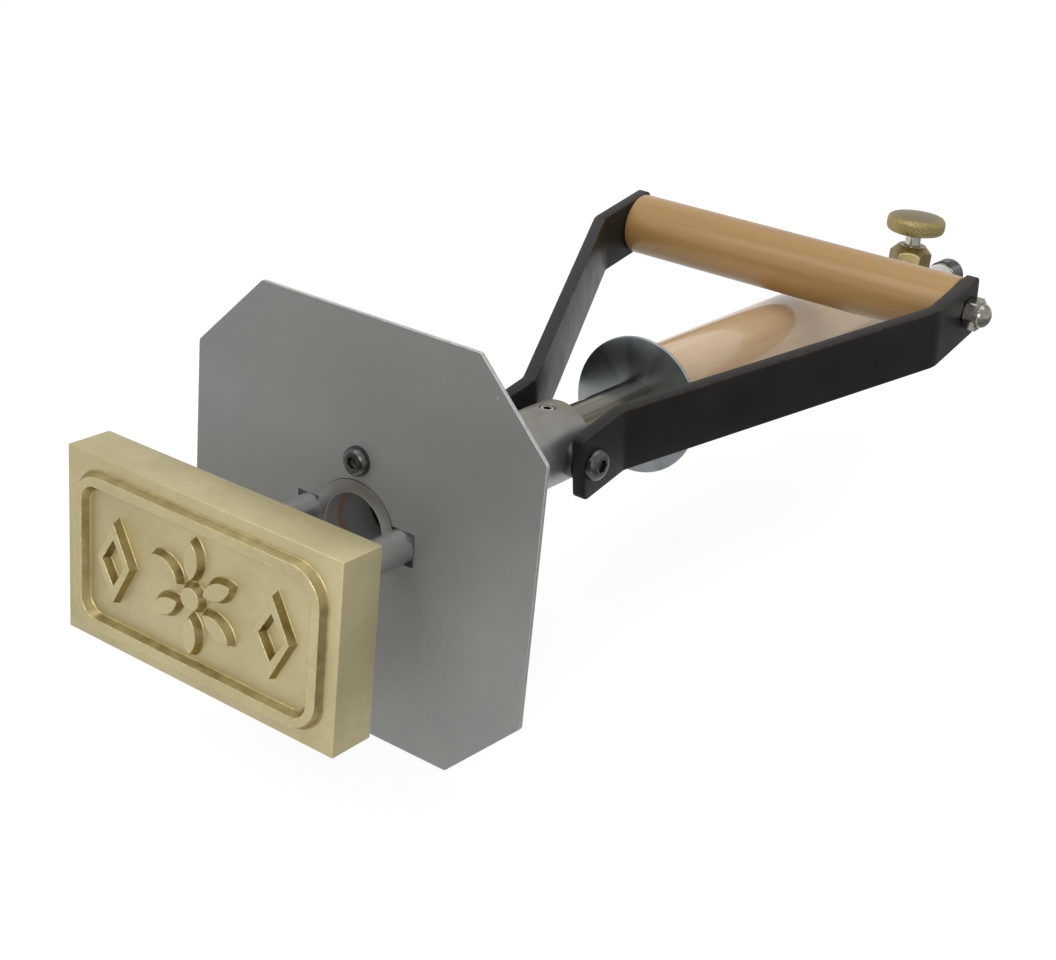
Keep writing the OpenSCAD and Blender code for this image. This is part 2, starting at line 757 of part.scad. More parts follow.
module hose_inlet() {
    thread_r = thread_d / 2;
    total = inlet_end - barrel_end;
    flare = (spigot_r - gas_way_r) / inlet_cone_l;
    color(chrome) translate([0, 0, -inlet_drop]) along_y(barrel_end) difference() {
        union() {
            translate([0, 0, -spigot_l]) cylinder(r = spigot_r, h = spigot_l);
            cylinder(d = inlet_d, h = inlet_l);
            translate([0, 0, inlet_l]) cylinder(r = thread_r, h = thread_l - thread_lead);
            translate([0, 0, total - thread_lead])
                cylinder(r1 = thread_r, r2 = thread_r - thread_lead, h = thread_lead);
        }
        translate([0, 0, -spigot_l - CUT]) cylinder(r = gas_way_r, h = spigot_l + total + 2 * CUT);
        translate([0, 0, total - inlet_cone_l])
            cylinder(r1 = gas_way_r, r2 = spigot_r + flare * CUT, h = inlet_cone_l + CUT);
    }
}

module pivot_screws() {
    head_x = arm_out + face_play;
    reach = head_x - tube_r - seat_clear;
    color(graphite) both_sides() translate([0, pivot_y, 0]) along_x(head_x)
        button_screw(pivot_d, pivot_head_d, pivot_head_h, pivot_key_af, reach);
}

module pivot_spacers() {
    length = spacer_sink + spacer_t;
    color(steel) both_sides() translate([0, pivot_y, 0]) along_x(spacer_x) difference() {
        cylinder(d = spacer_d, h = length);
        translate([0, 0, -CUT]) cylinder(r = pivot_r + seat_clear, h = length + 2 * CUT);
    }
}

// Everything on the yoke is drawn with its pivot at the origin and its arms along +Y
module on_yoke() { translate([0, pivot_y, 0]) rotate([yoke_tilt, 0, 0]) children(); }

// Strip of the right arm seen from above: the inner face first, then the outer face back
function arm_outline() =
    let (
        far_r = bend_r + arm_t,
        half = tan(arm_flare / 2),
        first = [arm_in + far_r, arm_straight - far_r * half],
        second = [cross_x - bend_r, bend_u + bend_r * half]
    )
    concat([[arm_in, -arm_nose]],
        arc(first, far_r, 180, 180 - arm_flare), arc(second, bend_r, -arm_flare, 0),
        [[cross_x, arm_end_u], [nut_x, arm_end_u]],
        arc(second, far_r, 0, -arm_flare), arc(first, bend_r, 180 - arm_flare, 180),
        [[arm_out, -arm_nose]]);

module yoke_arm() {
    length = arm_end_u + arm_nose;
    on_yoke() difference() {
        intersection() {
            translate([0, 0, -arm_h / 2]) linear_extrude(height = arm_h) polygon(arm_outline());
            translate([0, length / 2 - arm_nose, 0]) rotate([90, 0, 90])
                linear_extrude(height = nut_x + CUT) polygon(round_rect(length, arm_h, arm_corner));
        }
        along_x() cylinder(r = pivot_r + run_clear, h = arm_out + CUT);
        translate([0, cross_back, 0]) along_x() cylinder(r = tie_r + seat_clear, h = nut_x + CUT);
    }
}
module yoke_arm_left() { color(black) mirror([1, 0, 0]) yoke_arm(); }
module yoke_arm_right() { color(black) yoke_arm(); }

module at_cross() { on_yoke() translate([0, cross_back, 0]) children(); }

module cross_handle() {
    color(beech) at_cross() along_x(-cross_x) difference() {
        rotate_extrude() polygon(bar_profile(cross_r, cross_l, cross_edge));
        translate([0, 0, -CUT]) cylinder(r = tie_r + seat_clear, h = cross_l + 2 * CUT);
    }
}

module handle_tie_rod() {
    reach = nut_x + tie_nut_h - face_play;
    bevel = tie_r / 4;
    end_r = tie_r - bevel;
    color(zinc) at_cross() along_x(-reach) rotate_extrude() polygon([[0, 0], [end_r, 0], [tie_r, bevel],
        [tie_r, 2 * reach - bevel], [end_r, 2 * reach], [0, 2 * reach]]);
}

module tie_nuts() {
    color(chrome) at_cross() both_sides() along_x(nut_x)
        cap_nut(tie_nut_af, tie_nut_h, tie_dome_d / 2, tie_dome_h, tie_r + seat_clear);
}

brand_die();
die_rod_left();
die_rod_right();
heat_shield();
shield_flange();
shield_screws();
burner_holder();
holder_set_screw();
flame_head();
burner_tube();
gas_pipe();
gas_jet();
jet_spider();
guard_disc();
inline_handle();
handle_washer();
handle_nut();
tube_bush();
valve_body();
valve_bonnet();
gland_packing();
valve_stem();
valve_knob();
knob_set_screw();
hose_inlet();
pivot_screws();
pivot_spacers();
yoke_arm_left();
yoke_arm_right();
cross_handle();
handle_tie_rod();
tie_nuts();
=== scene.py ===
"""Looks of the propane branding iron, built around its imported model.

Metres, in the model's own frame: the origin is the centre of the branding face, +Y runs along the tool to
the hose, +X is the right side seen from the die and +Z is up. Sizes that the frame gives are read from it.
"""
import json
from math import asin, atan, atan2, ceil, cos, degrees, pi, radians, sin, sqrt, tan

import bmesh
import bpy
from mathutils import Matrix, Vector


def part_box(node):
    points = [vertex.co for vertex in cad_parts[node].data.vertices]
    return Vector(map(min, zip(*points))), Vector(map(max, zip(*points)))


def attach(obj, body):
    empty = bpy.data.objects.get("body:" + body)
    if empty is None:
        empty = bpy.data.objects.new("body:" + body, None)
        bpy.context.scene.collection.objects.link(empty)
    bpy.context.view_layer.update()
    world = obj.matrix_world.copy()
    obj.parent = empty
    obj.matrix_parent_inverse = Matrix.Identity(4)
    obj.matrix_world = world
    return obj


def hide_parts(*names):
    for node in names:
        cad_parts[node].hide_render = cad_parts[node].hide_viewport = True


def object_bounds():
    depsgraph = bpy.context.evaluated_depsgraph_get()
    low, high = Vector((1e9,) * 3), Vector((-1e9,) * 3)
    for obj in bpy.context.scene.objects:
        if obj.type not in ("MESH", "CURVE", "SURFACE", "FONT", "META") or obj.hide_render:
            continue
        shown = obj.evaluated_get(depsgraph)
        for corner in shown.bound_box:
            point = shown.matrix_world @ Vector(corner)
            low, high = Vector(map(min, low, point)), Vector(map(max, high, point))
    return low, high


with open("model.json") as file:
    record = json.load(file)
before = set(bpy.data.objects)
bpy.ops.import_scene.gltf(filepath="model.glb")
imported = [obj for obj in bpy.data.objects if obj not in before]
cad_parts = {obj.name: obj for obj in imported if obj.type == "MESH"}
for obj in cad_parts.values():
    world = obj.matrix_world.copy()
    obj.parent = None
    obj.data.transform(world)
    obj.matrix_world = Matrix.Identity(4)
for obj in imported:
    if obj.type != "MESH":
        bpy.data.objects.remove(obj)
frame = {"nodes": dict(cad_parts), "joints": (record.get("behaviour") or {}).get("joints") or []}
cad_box = [list(corner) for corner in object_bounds()]

MM = 0.001
TAU = 2 * pi
# Edges that turn by more than this are drawn sharp
SHARP = radians(38)
ALONG_Y = Matrix.Rotation(radians(-90), 4, "X")
ALONG_X = Matrix.Rotation(radians(90), 4, "Y")
FACING_FRONT = Matrix.Rotation(radians(90), 4, "X")
MIRROR_X = Matrix.Scale(-1, 4, (1, 0, 0))


def at(x, y, z):
    return Matrix.Translation((x, y, z))


def srgb(red, green, blue):
    """Linear colour from 8-bit values."""
    def linear(value):
        share = value / 255
        return share / 12.92 if share <= 0.04045 else ((share + 0.055) / 1.055) ** 2.4
    return linear(red), linear(green), linear(blue), 1.0


def add_object(name, data):
    made = bpy.data.objects.new(name, data)
    bpy.context.scene.collection.objects.link(made)
    return made


# Camera and stage

# The photograph's frame in pixels, and its focal length in the same pixels
PHOTO_SIZE = (1056, 960)
FOCAL_PX = 1770.3
SENSOR_MM = 36
EYE = Vector((348.55, -341.58, 254.69)) * MM
AZIMUTH = radians(33.86)
ELEVATION = radians(23.11)
ROLL = radians(5.8)


def add_camera():
    ahead = Vector((-sin(AZIMUTH) * cos(ELEVATION),
                    cos(AZIMUTH) * cos(ELEVATION), -sin(ELEVATION)))
    level = Vector((cos(AZIMUTH), sin(AZIMUTH), 0))
    right = level * cos(ROLL) + level.cross(ahead) * sin(ROLL)
    up = right.cross(ahead)
    data = bpy.data.cameras.new("camera")
    data.sensor_fit = "HORIZONTAL"
    data.sensor_width = SENSOR_MM
    data.lens = FOCAL_PX / PHOTO_SIZE[0] * SENSOR_MM
    data.clip_start = 0.01
    camera = add_object("camera", data)
    camera.matrix_world = Matrix.Translation(EYE) @ Matrix((right, up, -ahead)).transposed().to_4x4()
    bpy.context.scene.camera = camera


def feed(tree, socket, value):
    """Wires or sets the input of a node."""
    if isinstance(value, bpy.types.NodeSocket):
        tree.links.new(value, socket)
    else:
        socket.default_value = value


def add_node(tree, kind, inputs=None, operation=None):
    """Shader node with inputs that are named or numbered."""
    node = tree.nodes.new("ShaderNode" + kind)
    if operation:
        node.operation = operation
    for key, value in (inputs or {}).items():
        feed(tree, node.inputs[key], value)
    return node


def empty_tree(owner):
    owner.use_nodes = True
    owner.node_tree.nodes.clear()
    return owner.node_tree


def seen_directly(tree):
    """1 for what the camera sees, straight or in metal and glass, and 0 for light on dull surfaces."""
    path = add_node(tree, "LightPath")
    value = path.outputs["Is Camera Ray"]
    for name in ("Is Glossy Ray", "Is Transmission Ray"):
        value = add_node(tree, "Math", {0: value, 1: path.outputs[name]}, "MAXIMUM").outputs[0]
    return value


SKY_LEVEL = 0.65
SKY_TINT = (1.0, 0.99, 0.97, 1)


def add_world():
    """Soft light from all sides, with a white background behind the object and in its reflections."""
    world = bpy.data.worlds.new("studio")
    bpy.context.scene.world = world
    tree = empty_tree(world)
    soft = add_node(tree, "Background", {"Color": SKY_TINT, "Strength": SKY_LEVEL})
    white = add_node(tree, "Background", {"Color": (1, 1, 1, 1)})
    mix = add_node(tree, "MixShader", {0: seen_directly(tree), 1: soft.outputs[0], 2: white.outputs[0]})
    add_node(tree, "OutputWorld", {"Surface": mix.outputs[0]})


FLOOR_SPAN = 30
FLOOR_DROP = 1 * MM
FLOOR_Z = cad_box[0][2] - FLOOR_DROP
FLOOR_GLOW = 0.84
FLOOR_GREY = (0.24, 0.24, 0.24, 1)


def stage_quad(name, x_span, y_span, height, material):
    left, right = x_span
    near, far = y_span
    corners = [(left, near, height), (right, near, height), (right, far, height), (left, far, height)]
    mesh = bpy.data.meshes.new(name)
    mesh.from_pydata(corners, [], [(0, 1, 2, 3)])
    mesh.materials.append(material)
    quad = add_object(name, mesh)
    return quad


def add_floor():
    """Pale floor: mostly its own white, so that the shadow on it stays faint."""
    material = bpy.data.materials.new("floor_white")
    tree = empty_tree(material)
    dull = add_node(tree, "BsdfDiffuse", {"Color": FLOOR_GREY})
    level = add_node(tree, "Math", {0: seen_directly(tree), 1: FLOOR_GLOW}, "MULTIPLY")
    glow = add_node(tree, "Emission", {"Strength": level.outputs[0]})
    both = add_node(tree, "AddShader", {0: dull.outputs[0], 1: glow.outputs[0]})
    add_node(tree, "OutputMaterial", {"Surface": both.outputs[0]})
    span = (-FLOOR_SPAN / 2, FLOOR_SPAN / 2)
    stage_quad("floor", span, span, FLOOR_Z, material)


CARD_X = (0.1, 0.6)
CARD_Y = (-0.05, 1.2)
CARD_RISE = 1 * MM
CARD_GREY = (0.42, 0.42, 0.43, 1)


def add_card():
    """Grey card on the floor beside the tool.

    It shows only in reflections, so that metal has something to mirror.
    """
    material = bpy.data.materials.new("grey_card")
    tree = empty_tree(material)
    glow = add_node(tree, "Emission", {"Color": CARD_GREY})
    add_node(tree, "OutputMaterial", {"Surface": glow.outputs[0]})
    card = stage_quad("grey_card", CARD_X, CARD_Y, FLOOR_Z + CARD_RISE, material)
    card.visible_camera = False
    card.visible_diffuse = False
    card.visible_shadow = False


# Name, place, point that it faces, side length and power of each soft lamp
LAMPS = (
    ("key", (-0.5, -0.9, 1.4), (0, 0.15, 0), 0.9, 6),
    ("top", (0.1, 0.45, 1.6), (0, 0.3, 0), 1.2, 5),
    ("front", (0.45, -1.2, 0.4), (0, 0.1, 0), 0.7, 6.5),
)


def add_lamps():
    for name, place, target, side, power in LAMPS:
        data = bpy.data.lights.new(name, "AREA")
        data.size = side
        data.energy = power
        toward = Vector(target) - Vector(place)
        facing = toward.to_track_quat("-Z", "Y").to_matrix().to_4x4()
        add_object(name, data).matrix_world = Matrix.Translation(place) @ facing


# Materials

class Shader:
    """A material with short ways to add and wire its nodes.

    Coordinates are the object's own, in millimetres, and colours are the 8-bit values that a picture shows.
    """

    def __init__(self, name, **sockets):
        self.material = bpy.data.materials.new(name)
        self.material.use_nodes = True
        self.tree = self.material.node_tree
        self.surface = self.tree.nodes["Principled BSDF"]
        for socket, value in sockets.items():
            self.set(socket, value)

    def set(self, socket, value):
        feed(self.tree, self.surface.inputs[socket.replace("_", " ")], value)

    def node(self, kind, output, inputs, operation=None):
        return add_node(self.tree, kind, inputs, operation).outputs[output]

    def place(self, x=1.0, y=1.0, z=1.0):
        """Millimetre coordinates, with each axis squeezed by its factor."""
        source = self.node("TexCoord", "Object", {})
        return self.node("Mapping", "Vector", {"Vector": source, "Scale": (x / MM, y / MM, z / MM)})

    def noise(self, where, scale=1.0, detail=2.0, rough=0.5):
        numbers = {"Scale": scale, "Detail": detail, "Roughness": rough}
        return self.node("TexNoise", "Fac", {"Vector": where, **numbers})

    def cells(self, where, scale=1.0):
        """Distance from the nearest of many scattered points."""
        return self.node("TexVoronoi", "Distance", {"Vector": where, "Scale": scale})

    def axis(self, where, name):
        return self.node("SeparateXYZ", name, {0: where})

    def radius(self, where, first, second):
        """Distance from the axis that is square to the two named ones."""
        squares = [self.math("POWER", self.axis(where, name), 2.0) for name in (first, second)]
        return self.math("SQRT", self.math("ADD", *squares))

    def direction(self, where):
        """Unit vector away from the local Z axis."""
        flat = self.node("VectorMath", 0, {0: where, 1: (1, 1, 0)}, "MULTIPLY")
        return self.node("VectorMath", 0, {0: flat}, "NORMALIZE")

    def math(self, kind, first, second=0.0):
        return self.node("Math", 0, {0: first, 1: second}, kind)

    def level(self, value, low, high, at_low=0.0, at_high=1.0):
        numbers = {"From Min": low, "From Max": high, "To Min": at_low, "To Max": at_high}
        return self.node("MapRange", "Result", {"Value": value, **numbers})

    def ramp(self, value, *stops):
        node = add_node(self.tree, "ValToRGB", {0: value})
        marks = node.color_ramp.elements
        while len(marks) < len(stops):
            marks.new(0.5)
        for mark, (position, color) in zip(marks, stops):
            mark.position = position
            mark.color = srgb(*color)
        return node.outputs["Color"]

    def mix(self, share, first, second):
        node = add_node(self.tree, "Mix")
        node.data_type = "RGBA"
        for number, value in ((0, share), (6, first), (7, second)):
            feed(self.tree, node.inputs[number], srgb(*value) if isinstance(value, tuple) else value)
        return node.outputs[2]

    def finish(self, color, rough, height=None, depth_mm=0.0):
        """Wires colour, roughness and bumps, and gives the material."""
        self.set("Base_Color", color)
        self.set("Roughness", rough)
        if height is not None:
            self.set("Normal", self.node("Bump", 0, {"Height": height, "Distance": depth_mm * MM}))
        return self.material


# Range that holds most values of a noise, and of the sum of two
ONE_NOISE = (0.3, 0.7)
TWO_NOISES = (0.6, 1.4)


def cloudy(name, noise, low, high, rough, grain=None, depth_mm=0.0, **sockets):
    """Finish that one noise drives, given by its scale, detail and roughness.

    low and high are (level of the noise, colour) pairs. rough is the roughness at low and at high noise.
    grain is a second noise, for bumps of the depth that follows it.
    """
    s = Shader(name, **sockets)
    mm = s.place()
    cloud = s.noise(mm, *noise)
    bumps = s.noise(mm, *grain) if grain else None
    return s.finish(s.ramp(cloud, low, high), s.level(cloud, *ONE_NOISE, *rough), bumps, depth_mm)


def die_brass():
    """Milled brass block, dull and a little tarnished."""
    s = Shader("die_brass", Metallic=0.75)
    mm = s.place()
    cloud = s.noise(mm, 0.03, 4, 0.55)
    stain = s.noise(mm, 0.22, 6, 0.65)
    base = s.ramp(cloud, (0.32, (175, 164, 125)), (0.68, (190, 180, 141)))
    stained = s.mix(s.level(stain, 0.5, 0.75, 0, 0.2), base, (156, 142, 100))
    milling = s.noise(s.place(0.25, 1.2, 3.5), 1.0, 3, 0.6)
    grain = s.noise(mm, 2.2, 3, 0.6)
    rough = s.level(s.math("ADD", milling, stain), *TWO_NOISES, 0.42, 0.56)
    return s.finish(stained, rough, s.math("ADD", milling, s.math("MULTIPLY", grain, 0.6)), 0.035)


def sheet_steel():
    """Satin sheet with painted shade that darkens it towards the top, faint upright brushing, cloudy
    patches and small scuffs.
    """
    s = Shader("sheet_steel", Metallic=0.3)
    mm = s.place()
    cloud = s.noise(mm, 0.022, 4, 0.5)
    brushing = s.noise(s.place(2.2, 2.2, 0.12), 1.0, 4, 0.65)
    mottle = s.noise(mm, 0.45, 4, 0.6)
    scuff = s.level(s.cells(mm, 0.045), 0.02, 0.04, 0.3, 0)
    unshaded = s.ramp(cloud, (0.3, (146, 146, 144)), (0.7, (158, 158, 155)))
    # Painted shade: the plate darkens towards the top.
    base = s.mix(s.level(s.axis(mm, "Z"), -60, 50, 0, 0.65), unshaded, (112, 112, 110))
    lined = s.mix(s.level(s.math("ADD", brushing, mottle), 0.7, 1.3, 0, 0.1), base, (104, 104, 104))
    rough = s.level(s.math("ADD", brushing, cloud), *TWO_NOISES, 0.46, 0.56)
    bumps = s.math("ADD", brushing, mottle)
    return s.finish(s.mix(scuff, lined, (172, 171, 168)), rough, bumps, 0.008)


MOUTH_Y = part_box("burner_holder")[0].y / MM
FLAME_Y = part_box("flame_head")[0].y / MM


def holder_steel():
    """Turned sleeve: fine rings, brown on top of the outside, temper colours inside its mouth, and near
    black painted shade deep in the bore.
    """
    s = Shader("holder_steel")
    mm = s.place()
    along = s.axis(mm, "Y")
    cloud = s.noise(mm, 0.06, 4, 0.55)
    rings = s.noise(s.place(0.02, 3.0, 0.02), 1.0, 3, 0.6)
    patchy = s.level(cloud, *ONE_NOISE, -5, 5)
    top = s.level(s.math("ADD", s.axis(mm, "Z"), patchy), 9, 17, 0, 0.75)
    grey = s.ramp(cloud, (0.3, (134, 133, 132)), (0.7, (156, 154, 152)))
    outside = s.mix(top, grey, (106, 99, 78))
    front = s.level(along, MOUTH_Y + 1.2, MOUTH_Y + 1.6, 0.6, 0)
    faced = s.mix(front, outside, (126, 127, 124))
    depth = s.level(s.math("ADD", along, s.level(cloud, *ONE_NOISE, -1, 1)), MOUTH_Y, FLAME_Y)
    # Temper colours along the bore, then near black from about seven tenths of the way to the flame head:
    # painted shade deep in the bore.
    bore_tint_and_shade = s.ramp(depth, (0.0, (156, 156, 154)), (0.05, (152, 153, 154)), (0.16, (166, 166, 168)),
                  (0.21, (178, 150, 128)), (0.26, (174, 144, 122)), (0.33, (172, 176, 180)),
                  (0.5, (184, 190, 192)), (0.62, (178, 178, 184)), (0.68, (172, 168, 170)),
                  (0.73, (34, 34, 36)), (1.0, (20, 20, 22)))
    inside = s.math("LESS_THAN", s.radius(mm, "X", "Z"), MOUTH_R / MM + 0.2)
    s.set("Metallic", s.level(inside, 0, 1, 0.75, 0))
    rough = s.level(s.math("ADD", rings, cloud), *TWO_NOISES, 0.34, 0.46)
    return s.finish(s.mix(inside, faced, bore_tint_and_shade), rough, rings, 0.012)


def rod_steel():
    """Drawn bar with fine dark lines along it."""
    s = Shader("rod_steel", Metallic=0.75)
    mm = s.place()
    drawn = s.noise(s.place(1.5, 1.5, 0.04), 1.0, 4, 0.6)
    cloud = s.noise(mm, 0.09, 4)
    base = s.ramp(cloud, (0.3, (186, 186, 186)), (0.7, (212, 211, 209)))
    lined = s.mix(s.level(drawn, 0.35, 0.7, 0, 0.25), base, (146, 147, 150))
    return s.finish(lined, s.level(drawn, *ONE_NOISE, 0.26, 0.36), drawn, 0.012)


def zinc_plate(name, pale, dark, rough):
    """Zinc with turning marks, and painted sheen: light and dark streaks that spread out from the local Z
    axis as the highlight on a turned face does.
    """
    s = Shader(name, Metallic=1.0)
    mm = s.place()
    cloud = s.noise(mm, 0.07, 4, 0.6)
    sheen_streaks = s.noise(s.direction(mm), 2.2, 3, 0.6)
    rings = s.noise(s.math("MULTIPLY", s.radius(mm, "X", "Y"), 2.6), 1.0, 4, 0.7)
    # Painted sheen: the spreading streaks are mixed into the colour.
    tone = s.math("ADD", s.math("MULTIPLY", cloud, 0.4), s.math("MULTIPLY", sheen_streaks, 0.6))
    gloss = s.level(s.math("ADD", sheen_streaks, rings), *TWO_NOISES, rough - 0.06, rough + 0.08)
    return s.finish(s.ramp(tone, (0.36, dark), (0.62, pale)), gloss, rings, 0.006)


def drawn_tube():
    """Plated tube: long streaks, and brown where the burner has heated it."""
    s = Shader("drawn_tube", Metallic=1.0)
    mm = s.place()
    streak = s.noise(s.place(0.28, 0.28, 0.004), 1.0, 4, 0.65)
    cloud = s.noise(mm, 0.08, 4, 0.6)
    base = s.ramp(streak, (0.36, (58, 54, 45)), (0.5, (82, 78, 67)), (0.64, (128, 126, 119)))
    heated = s.level(s.math("ADD", s.axis(mm, "Z"), s.level(cloud, *ONE_NOISE, -25, 25)), 90, 240, 0.35, 0)
    rough = s.level(s.math("ADD", streak, cloud), *TWO_NOISES, 0.16, 0.28)
    return s.finish(s.mix(heated, base, (96, 90, 74)), rough, streak, 0.01)


def beech(name, pale, dark, fleck, flecked, coat, coat_rough):
    """Varnished beech, grained along the local Z axis: long streaks, fine fibres and short dark flecks."""
    s = Shader(name, Coat_Weight=coat, Coat_Roughness=coat_rough, Specular_IOR_Level=0.4)
    broad = s.noise(s.place(0.045, 0.045, 0.006), 1.0, 3, 0.5)
    streak = s.noise(s.place(0.35, 0.35, 0.01), 1.0, 4, 0.6)
    fibre = s.noise(s.place(2.4, 2.4, 0.07), 1.0, 3, 0.6)
    spots = s.level(s.cells(s.place(0.62, 0.62, 0.13), 1.0), 0.08, 0.18, flecked, 0)
    here = s.level(s.noise(s.place(0.12, 0.12, 0.02), 1.0, 2), 0.42, 0.62)
    flecks = s.math("MULTIPLY", spots, here)
    tone = s.math("ADD", s.math("MULTIPLY", broad, 0.6), s.math("MULTIPLY", streak, 0.4))
    base = s.ramp(tone, (0.34, dark), (0.64, pale))
    lined = s.mix(s.level(fibre, 0.45, 0.75, 0, 0.25), base, dark)
    rough = s.level(fibre, *ONE_NOISE, 0.4, 0.52)
    return s.finish(s.mix(flecks, lined, fleck), rough, s.math("SUBTRACT", fibre, flecks), 0.015)


def turned_finish(s, color, cloud):
    """Brass with fine turning marks around the local Z axis."""
    marks = s.noise(s.place(0.4, 0.4, 4.0), 1.0, 3, 0.6)
    return s.finish(color, s.level(s.math("ADD", cloud, marks), *TWO_NOISES, 0.23, 0.39), marks, 0.012)


def turned_brass():
    s = Shader("valve_brass", Metallic=0.65)
    cloud = s.noise(s.place(), 0.25, 5, 0.6)
    return turned_finish(s, s.ramp(cloud, (0.32, (158, 138, 78)), (0.66, (196, 178, 110))), cloud)


def bonnet_brass():
    """Brass with painted light and shade: the flat that faces front right and the flat opposite it are
    bright, the other flats and the cone are dark brown.
    """
    s = Shader("bonnet_brass", Metallic=0.35)
    mm = s.place()
    cloud = s.noise(mm, 0.25, 5, 0.6)
    # Bright brass stands for painted light, dark brown brass for painted shade.
    unshaded = s.ramp(cloud, (0.32, (206, 188, 128)), (0.66, (228, 212, 154)))
    shaded_brass = s.ramp(cloud, (0.32, (112, 92, 48)), (0.66, (140, 120, 70)))
    # Painted light falls on the flat that faces front right and on the flat opposite it.
    aside = s.math("MULTIPLY", s.axis(mm, "X"), sin(BONNET_TURN))
    ahead = s.math("MULTIPLY", s.axis(mm, "Y"), cos(BONNET_TURN))
    flat = BONNET_HEX / 2 / MM
    lit_flats = s.level(s.math("ABSOLUTE", s.math("SUBTRACT", aside, ahead)), flat - 0.3, flat - 0.1)
    return turned_finish(s, s.mix(lit_flats, shaded_brass, unshaded), cloud)


def knob_brass():
    """Dull, grimy brass with a grainy surface, and painted shade that darkens its top."""
    s = Shader("knob_brass", Metallic=0.7)
    mm = s.place()
    grain = s.noise(mm, 1.5, 4, 0.7)
    cloud = s.noise(mm, 0.3, 4, 0.6)
    base = s.ramp(grain, (0.36, (136, 122, 78)), (0.6, (172, 157, 106)))
    grimy = s.mix(s.level(cloud, 0.4, 0.7, 0, 0.4), base, (126, 112, 74))
    # Painted shade: the knob's top is darkened towards brown.
    top = s.level(s.axis(mm, "Z"), 7.4, 8.8, 0, 0.75)
    rough = s.level(grain, *ONE_NOISE, 0.52, 0.36)
    return s.finish(s.mix(top, grimy, (100, 85, 55)), rough, grain, 0.05)


def bright_steel(name, pale, dark):
    """Nickel plate with faint handling marks."""
    return cloudy(name, (0.5, 5, 0.6), (0.3, dark), (0.7, pale), (0.1, 0.22), (1.6, 3, 0.5), 0.006,
                  Metallic=1.0)


# Shapes

def arc(center, radius, start, end, steps=8):
    """Points on an arc, with its angles in degrees."""
    angles = [radians(start + (end - start) * i / steps) for i in range(steps + 1)]
    return [(center[0] + radius * cos(a), center[1] + radius * sin(a)) for a in angles]


def rounded(points, steps=4, closed=False):
    """Outline from (x, y, radius) corners: each corner with a radius becomes a smooth curve.

    Gives (x, y, on_edge) points, where on_edge marks the curves.
    """
    outline = []
    last = len(points) - 1
    for i, (x, y, radius) in enumerate(points):
        if not radius or (not closed and i in (0, last)):
            outline.append((x, y, False))
            continue
        corner = Vector((x, y))
        before = Vector(points[i - 1][:2]) - corner
        after = Vector(points[(i + 1) % len(points)][:2]) - corner
        start = corner + before.normalized() * radius
        end = corner + after.normalized() * radius
        for k in range(steps + 1):
            t = k / steps
            point = start * (1 - t) ** 2 + corner * 2 * t * (1 - t) + end * t ** 2
            outline.append((point.x, point.y, True))
    if closed:
        outline.append(outline[0])
    return outline


def turn(bm, outline, place=Matrix(), steps=96):
    """Turns an outline of (radius, height) points around the local Z axis.

    A third value, on_edge, gives the faces between marked points the second material. The outline may be a
    function of the angle, with as many points at each angle.
    """
    columns = []
    for i in range(steps + 1):
        angle = TAU * i / steps
        points = outline(angle) if callable(outline) else outline
        column = []
        for radius, height, *_ in points:
            spot = Vector((radius * cos(angle), radius * sin(angle), height))
            column.append(bm.verts.new(place @ spot))
        columns.append(column)
    edge = [any(point[2:]) for point in points]
    for here, there in zip(columns, columns[1:]):
        for k in range(len(edge) - 1):
            face = bm.faces.new((here[k], there[k], there[k + 1], here[k + 1]))
            face.material_index = int(edge[k] and edge[k + 1])


def hollow(bore, radius, length, bore_edge, edge, steps=4):
    """Outline of a ring or tube with rounded edges."""
    return rounded([(bore, 0, bore_edge), (radius, 0, edge), (radius, length, edge),
                    (bore, length, bore_edge)], steps, closed=True)


def skin(bm, loops, finish_of, close_ends=True):
    """Faces between successive loops of points, with flat faces over both ends.

    finish_of gives a face's material by the number of its loop and of its first point there.
    """
    rings = [[bm.verts.new(point) for point in loop] for loop in loops]
    for k, (here, there) in enumerate(zip(rings, rings[1:])):
        for i in range(len(here)):
            j = (i + 1) % len(here)
            face = bm.faces.new((here[i], here[j], there[j], there[i]))
            face.material_index = finish_of(k, i)
    if close_ends:
        bm.faces.new(rings[0][::-1])
        bm.faces.new(rings[-1])


def upright_plate(outlines, thickness, bevel):
    """Flat plate that faces the front, from the outlines of itself and its holes, with bevelled edges."""
    data = bpy.data.curves.new("plate_outline", "CURVE")
    data.dimensions = "2D"
    data.fill_mode = "BOTH"
    data.extrude = thickness / 2 - bevel
    data.bevel_depth = bevel
    data.bevel_resolution = 1
    data.offset = -bevel
    for outline in outlines:
        spline = data.splines.new("POLY")
        spline.points.add(len(outline) - 1)
        for point, (x, y) in zip(spline.points, outline):
            point.co = (x, y, 0, 1)
        spline.use_cyclic_u = True
    drawing = add_object("plate_outline", data)
    graph = bpy.context.evaluated_depsgraph_get()
    solid = bpy.data.meshes.new_from_object(drawing.evaluated_get(graph))
    bpy.data.objects.remove(drawing)
    flat = 0.99
    for polygon in solid.polygons:
        polygon.material_index = int(abs(polygon.normal.z) < flat)
    solid.transform(FACING_FRONT)
    bm = bmesh.new()
    bm.from_mesh(solid)
    bpy.data.meshes.remove(solid)
    return bm


# Points closer than this are one
MERGE = 2e-6


def mesh_of(name, bm):
    bmesh.ops.remove_doubles(bm, verts=bm.verts, dist=MERGE)
    bmesh.ops.recalc_face_normals(bm, faces=bm.faces)
    mesh = bpy.data.meshes.new(name)
    bm.to_mesh(mesh)
    bm.free()
    return mesh


def shade_smooth(mesh):
    mesh.polygons.foreach_set("use_smooth", [True] * len(mesh.polygons))
    mesh.set_sharp_from_angle(angle=SHARP)


